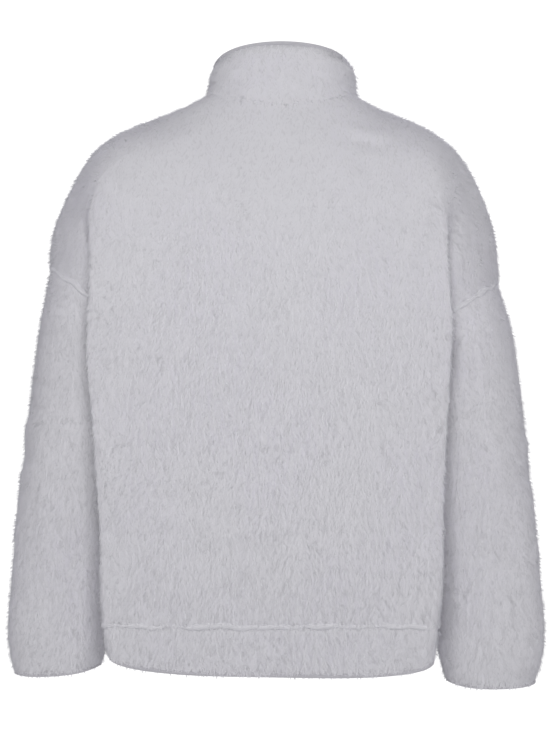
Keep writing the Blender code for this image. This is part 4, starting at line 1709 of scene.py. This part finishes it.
CREASES = (
    # The fan beside the collar, on the wearer's right shoulder
    Crease(Seen.BACK, Form.RIDGE, (-0.078, -0.023), (-0.126, -0.029), 0.0050, 0.0026, 0.002),
    Crease(Seen.BACK, Form.TROUGH, (-0.076, -0.032), (-0.128, -0.042), 0.0060, 0.0022, 0.002),
    Crease(Seen.BACK, Form.RIDGE, (-0.092, -0.048), (-0.124, -0.060), 0.0075, 0.0014, 0.001),
    Crease(Seen.BACK, Form.RIDGE, (0.088, -0.030), (0.118, -0.040), 0.0080, 0.0014, -0.001),
    # The slant across the lower back
    Crease(Seen.BACK, Form.RIDGE, (0.086, -0.474), (-0.040, -0.456), 0.0080, 0.0022, -0.004),
    Crease(Seen.BACK, Form.TROUGH, (0.070, -0.490), (-0.030, -0.474), 0.0090, 0.0018, -0.003),
    # Soft drops from the armpits down the back's sides
    Crease(Seen.BACK, Form.TROUGH, (0.168, -0.210), (0.160, -0.420), 0.0160, 0.0014, 0.004),
    Crease(Seen.BACK, Form.TROUGH, (-0.158, -0.220), (-0.152, -0.390), 0.0150, 0.0012, -0.004),
    Crease(Seen.BACK, Form.RIDGE, (0.120, -0.250), (0.116, -0.520), 0.0240, 0.0010, 0.005),
    Crease(Seen.BACK, Form.RIDGE, (-0.100, -0.330), (-0.112, -0.545), 0.0240, 0.0010, 0.004),
    # Slants and drops on the fronts
    Crease(Seen.FRONT, Form.RIDGE, (0.040, -0.140), (0.120, -0.205), 0.0140, 0.0024, 0.006),
    Crease(Seen.FRONT, Form.RIDGE, (-0.046, -0.152), (-0.126, -0.214), 0.0150, 0.0021, -0.006),
    Crease(Seen.FRONT, Form.TROUGH, (0.060, -0.190), (0.140, -0.262), 0.0130, 0.0021, 0.004),
    Crease(Seen.FRONT, Form.TROUGH, (-0.052, -0.196), (-0.138, -0.276), 0.0140, 0.0024, -0.004),
    Crease(Seen.FRONT, Form.RIDGE, (0.030, -0.470), (0.130, -0.448), 0.0120, 0.0019, 0.004),
    Crease(Seen.FRONT, Form.RIDGE, (-0.026, -0.430), (-0.118, -0.462), 0.0130, 0.0018, 0.004),
    Crease(Seen.FRONT, Form.TROUGH, (0.146, -0.250), (0.150, -0.450), 0.0160, 0.0018, 0.003),
    # Elbows and forearms
    Crease(Seen.LEFT, Form.RIDGE, (-0.080, -0.372), (0.020, -0.352), 0.0110, 0.0024, 0.004),
    Crease(Seen.LEFT, Form.TROUGH, (-0.070, -0.398), (0.024, -0.384), 0.0120, 0.0024, 0.003),
    Crease(Seen.LEFT, Form.RIDGE, (-0.076, -0.452), (0.006, -0.474), 0.0130, 0.0018, -0.003),
    Crease(Seen.RIGHT, Form.RIDGE, (-0.082, -0.356), (0.014, -0.374), 0.0120, 0.0023, -0.004),
    Crease(Seen.RIGHT, Form.TROUGH, (-0.074, -0.420), (0.016, -0.404), 0.0120, 0.0021, 0.003),
    Crease(Seen.RIGHT, Form.RIDGE, (-0.066, -0.506), (0.004, -0.488), 0.0130, 0.0018, 0.003),
    Crease(Seen.FRONT, Form.RIDGE, (0.206, -0.350), (0.262, -0.372), 0.0110, 0.0024, 0.003),
    Crease(Seen.FRONT, Form.TROUGH, (-0.204, -0.372), (-0.264, -0.350), 0.0110, 0.0024, 0.003),
)


@dataclass(frozen=True)
class Combing:
    """Where the pile thins out: pairs of distances in metres, from where it is none to where it is full."""

    from_binding: tuple[float, float] = (-0.0040, 0.0070)
    from_collar_edge: tuple[float, float] = (0.0010, 0.0060)
    from_zip: tuple[float, float] = (0.0080, 0.0120)
    from_hem_seam: tuple[float, float] = (0.0024, 0.0064)
    from_armhole: tuple[float, float] = (0.0026, 0.0070)
    armhole_shown: tuple[float, float] = (0.262, 0.215)    # how far out its seam shows in the pile
    seam_depth: tuple[float, float] = (0.6, 1.0)           # of the left and the right armhole
    raised: tuple[float, float] = (0.010, 0.004)           # from the collar's edge: brushed up there
    raised_more: float = 0.1       # how much fuller the pile is that is brushed up
    collar_back: tuple[float, float] = (0.060, 0.040)      # from the middle: lies down there
    collar_middle: float = -0.004
    front_from: float = -0.02      # Y in front of which the zip parts the pile


class Jacket:
    """The whole jacket, in the order that it is sewn."""

    def __init__(self) -> None:
        """Lists the panels, bindings, seams and the zip."""
        self.back = Panel("back", (0.62, 0.70), 0.375, Held.HUNG, seed=21)
        self.fronts = (
            Panel("front_left", (0.31, 0.66), 0.163, Held.HUNG, seed=22),
            Panel("front_right", (0.31, 0.66), 0.165, Held.HUNG, seed=23),
        )
        self.sleeves = (
            Panel(
                "sleeve_left", (0.44, 0.44), 0.166, Held.HUNG, middle=(0.225, -0.028), bound=-1.0, seed=24
            ),
            Panel(
                "sleeve_right", (0.44, 0.43), 0.170, Held.HUNG, middle=(-0.225, -0.028), bound=-1.0, seed=25
            ),
        )
        self.collar = Panel(
            "collar", (0.47, 0.075), 0.031, Held.STRETCHED, middle=(-0.0085, -0.01), bound=1.0, seed=26
        )
        self.hem = Panel("hem_band", (1.08, 0.055), 0.057, Held.STRETCHED, bound=-1.0, seed=27)
        self.body = (self.back, *self.fronts)
        self.panels = (*self.body, *self.sleeves, self.collar, self.hem)
        self.bindings = (
            Binding("collar_binding", (0.45, 0.010)),
            Binding("hem_binding", (1.06, 0.010)),
            Binding("cuff_binding_left", (0.27, 0.010)),
            Binding("cuff_binding_right", (0.27, 0.010)),
        )
        self.seams = (
            SeamRoll(
                "neck_seam", self.collar, self.body, radius=0.0022, stand=-0.0017, hidden=True,
                nap=Pile(per_square_metre=300000.0, length=0.0055, lift=0.0017, stray=0.0030),
            ),
            SeamRoll("hem_seam", self.hem, self.body),
            SeamRoll("armhole_seam_left", self.sleeves[0], self.body),
            SeamRoll("armhole_seam_right", self.sleeves[1], self.body),
        )
        self.zip = Zip()
        self.combing = Combing()
        self.bound_edges: KDTree | None = None
        self.body_edges: KDTree | None = None

    def combed_at(self, panel: Panel, roots: np.ndarray) -> tuple[np.ndarray, np.ndarray]:
        """How full the pile is at each root, and how far it is brushed up.

        Args:
            panel: the panel that the roots stand on.
            roots: where they are.

        Returns:
            The share of its full size at each root, and the share brushed up.
        """
        comb = self.combing
        from_binding = distances(roots, self.bound_edges)
        raised = np.zeros(len(roots))
        if panel is self.collar:
            aside = np.abs(roots[:, 0] - comb.collar_middle)
            lying = (roots[:, 1] > 0.0) * smooth_step(*comb.collar_back, aside)
            raised = smooth_step(*comb.raised, from_binding) * (1.0 - lying)
            standing = (1.0 + comb.raised_more * raised) * (1.0 - lying)
            full = np.maximum(smooth_step(*comb.from_collar_edge, from_binding), standing)
        else:
            full = smooth_step(*comb.from_binding, from_binding)
        beside_zip = smooth_step(*comb.from_zip, np.abs(roots[:, 0]))
        full *= np.where(roots[:, 1] < comb.front_from, beside_zip, 1.0)
        if panel is self.hem:
            full *= smooth_step(*comb.from_hem_seam, distances(roots, self.body_edges))
        if panel in self.sleeves:
            depth = comb.seam_depth[self.sleeves.index(panel)]
            shown = smooth_step(*comb.armhole_shown, np.abs(roots[:, 0]))
            away = smooth_step(*comb.from_armhole, distances(roots, self.body_edges))
            full *= 1.0 - depth * shown * (1.0 - away)
        return full, raised

    def build(self, wardrobe: Wardrobe) -> None:
        """Builds and dresses every piece, hangs it on what it rides on, and hides the solids that the pieces
        stand in for.

        Args:
            wardrobe: where the materials come from.
        """
        self.bound_edges = edge_tree([merged(binding.node) for binding in self.bindings], True)
        for panel in self.panels:
            panel.build(CREASES, self.bound_edges)
        self.body_edges = edge_tree([opened(panel.sheet) for panel in self.body], False)
        for panel in self.panels:
            panel.grow(self.combed_at)
            panel.dress(wardrobe)
            panel.declare()
        for part in (*self.bindings, *self.seams, self.zip):
            part.build()
            part.dress(wardrobe)
            part.declare()


def main() -> None:
    """Builds the studio and the jacket."""
    logging.basicConfig(level=logging.INFO, format="%(name)s: %(message)s")
    Studio().build()
    Jacket().build(Wardrobe())


if __name__ == "__main__":
    main()
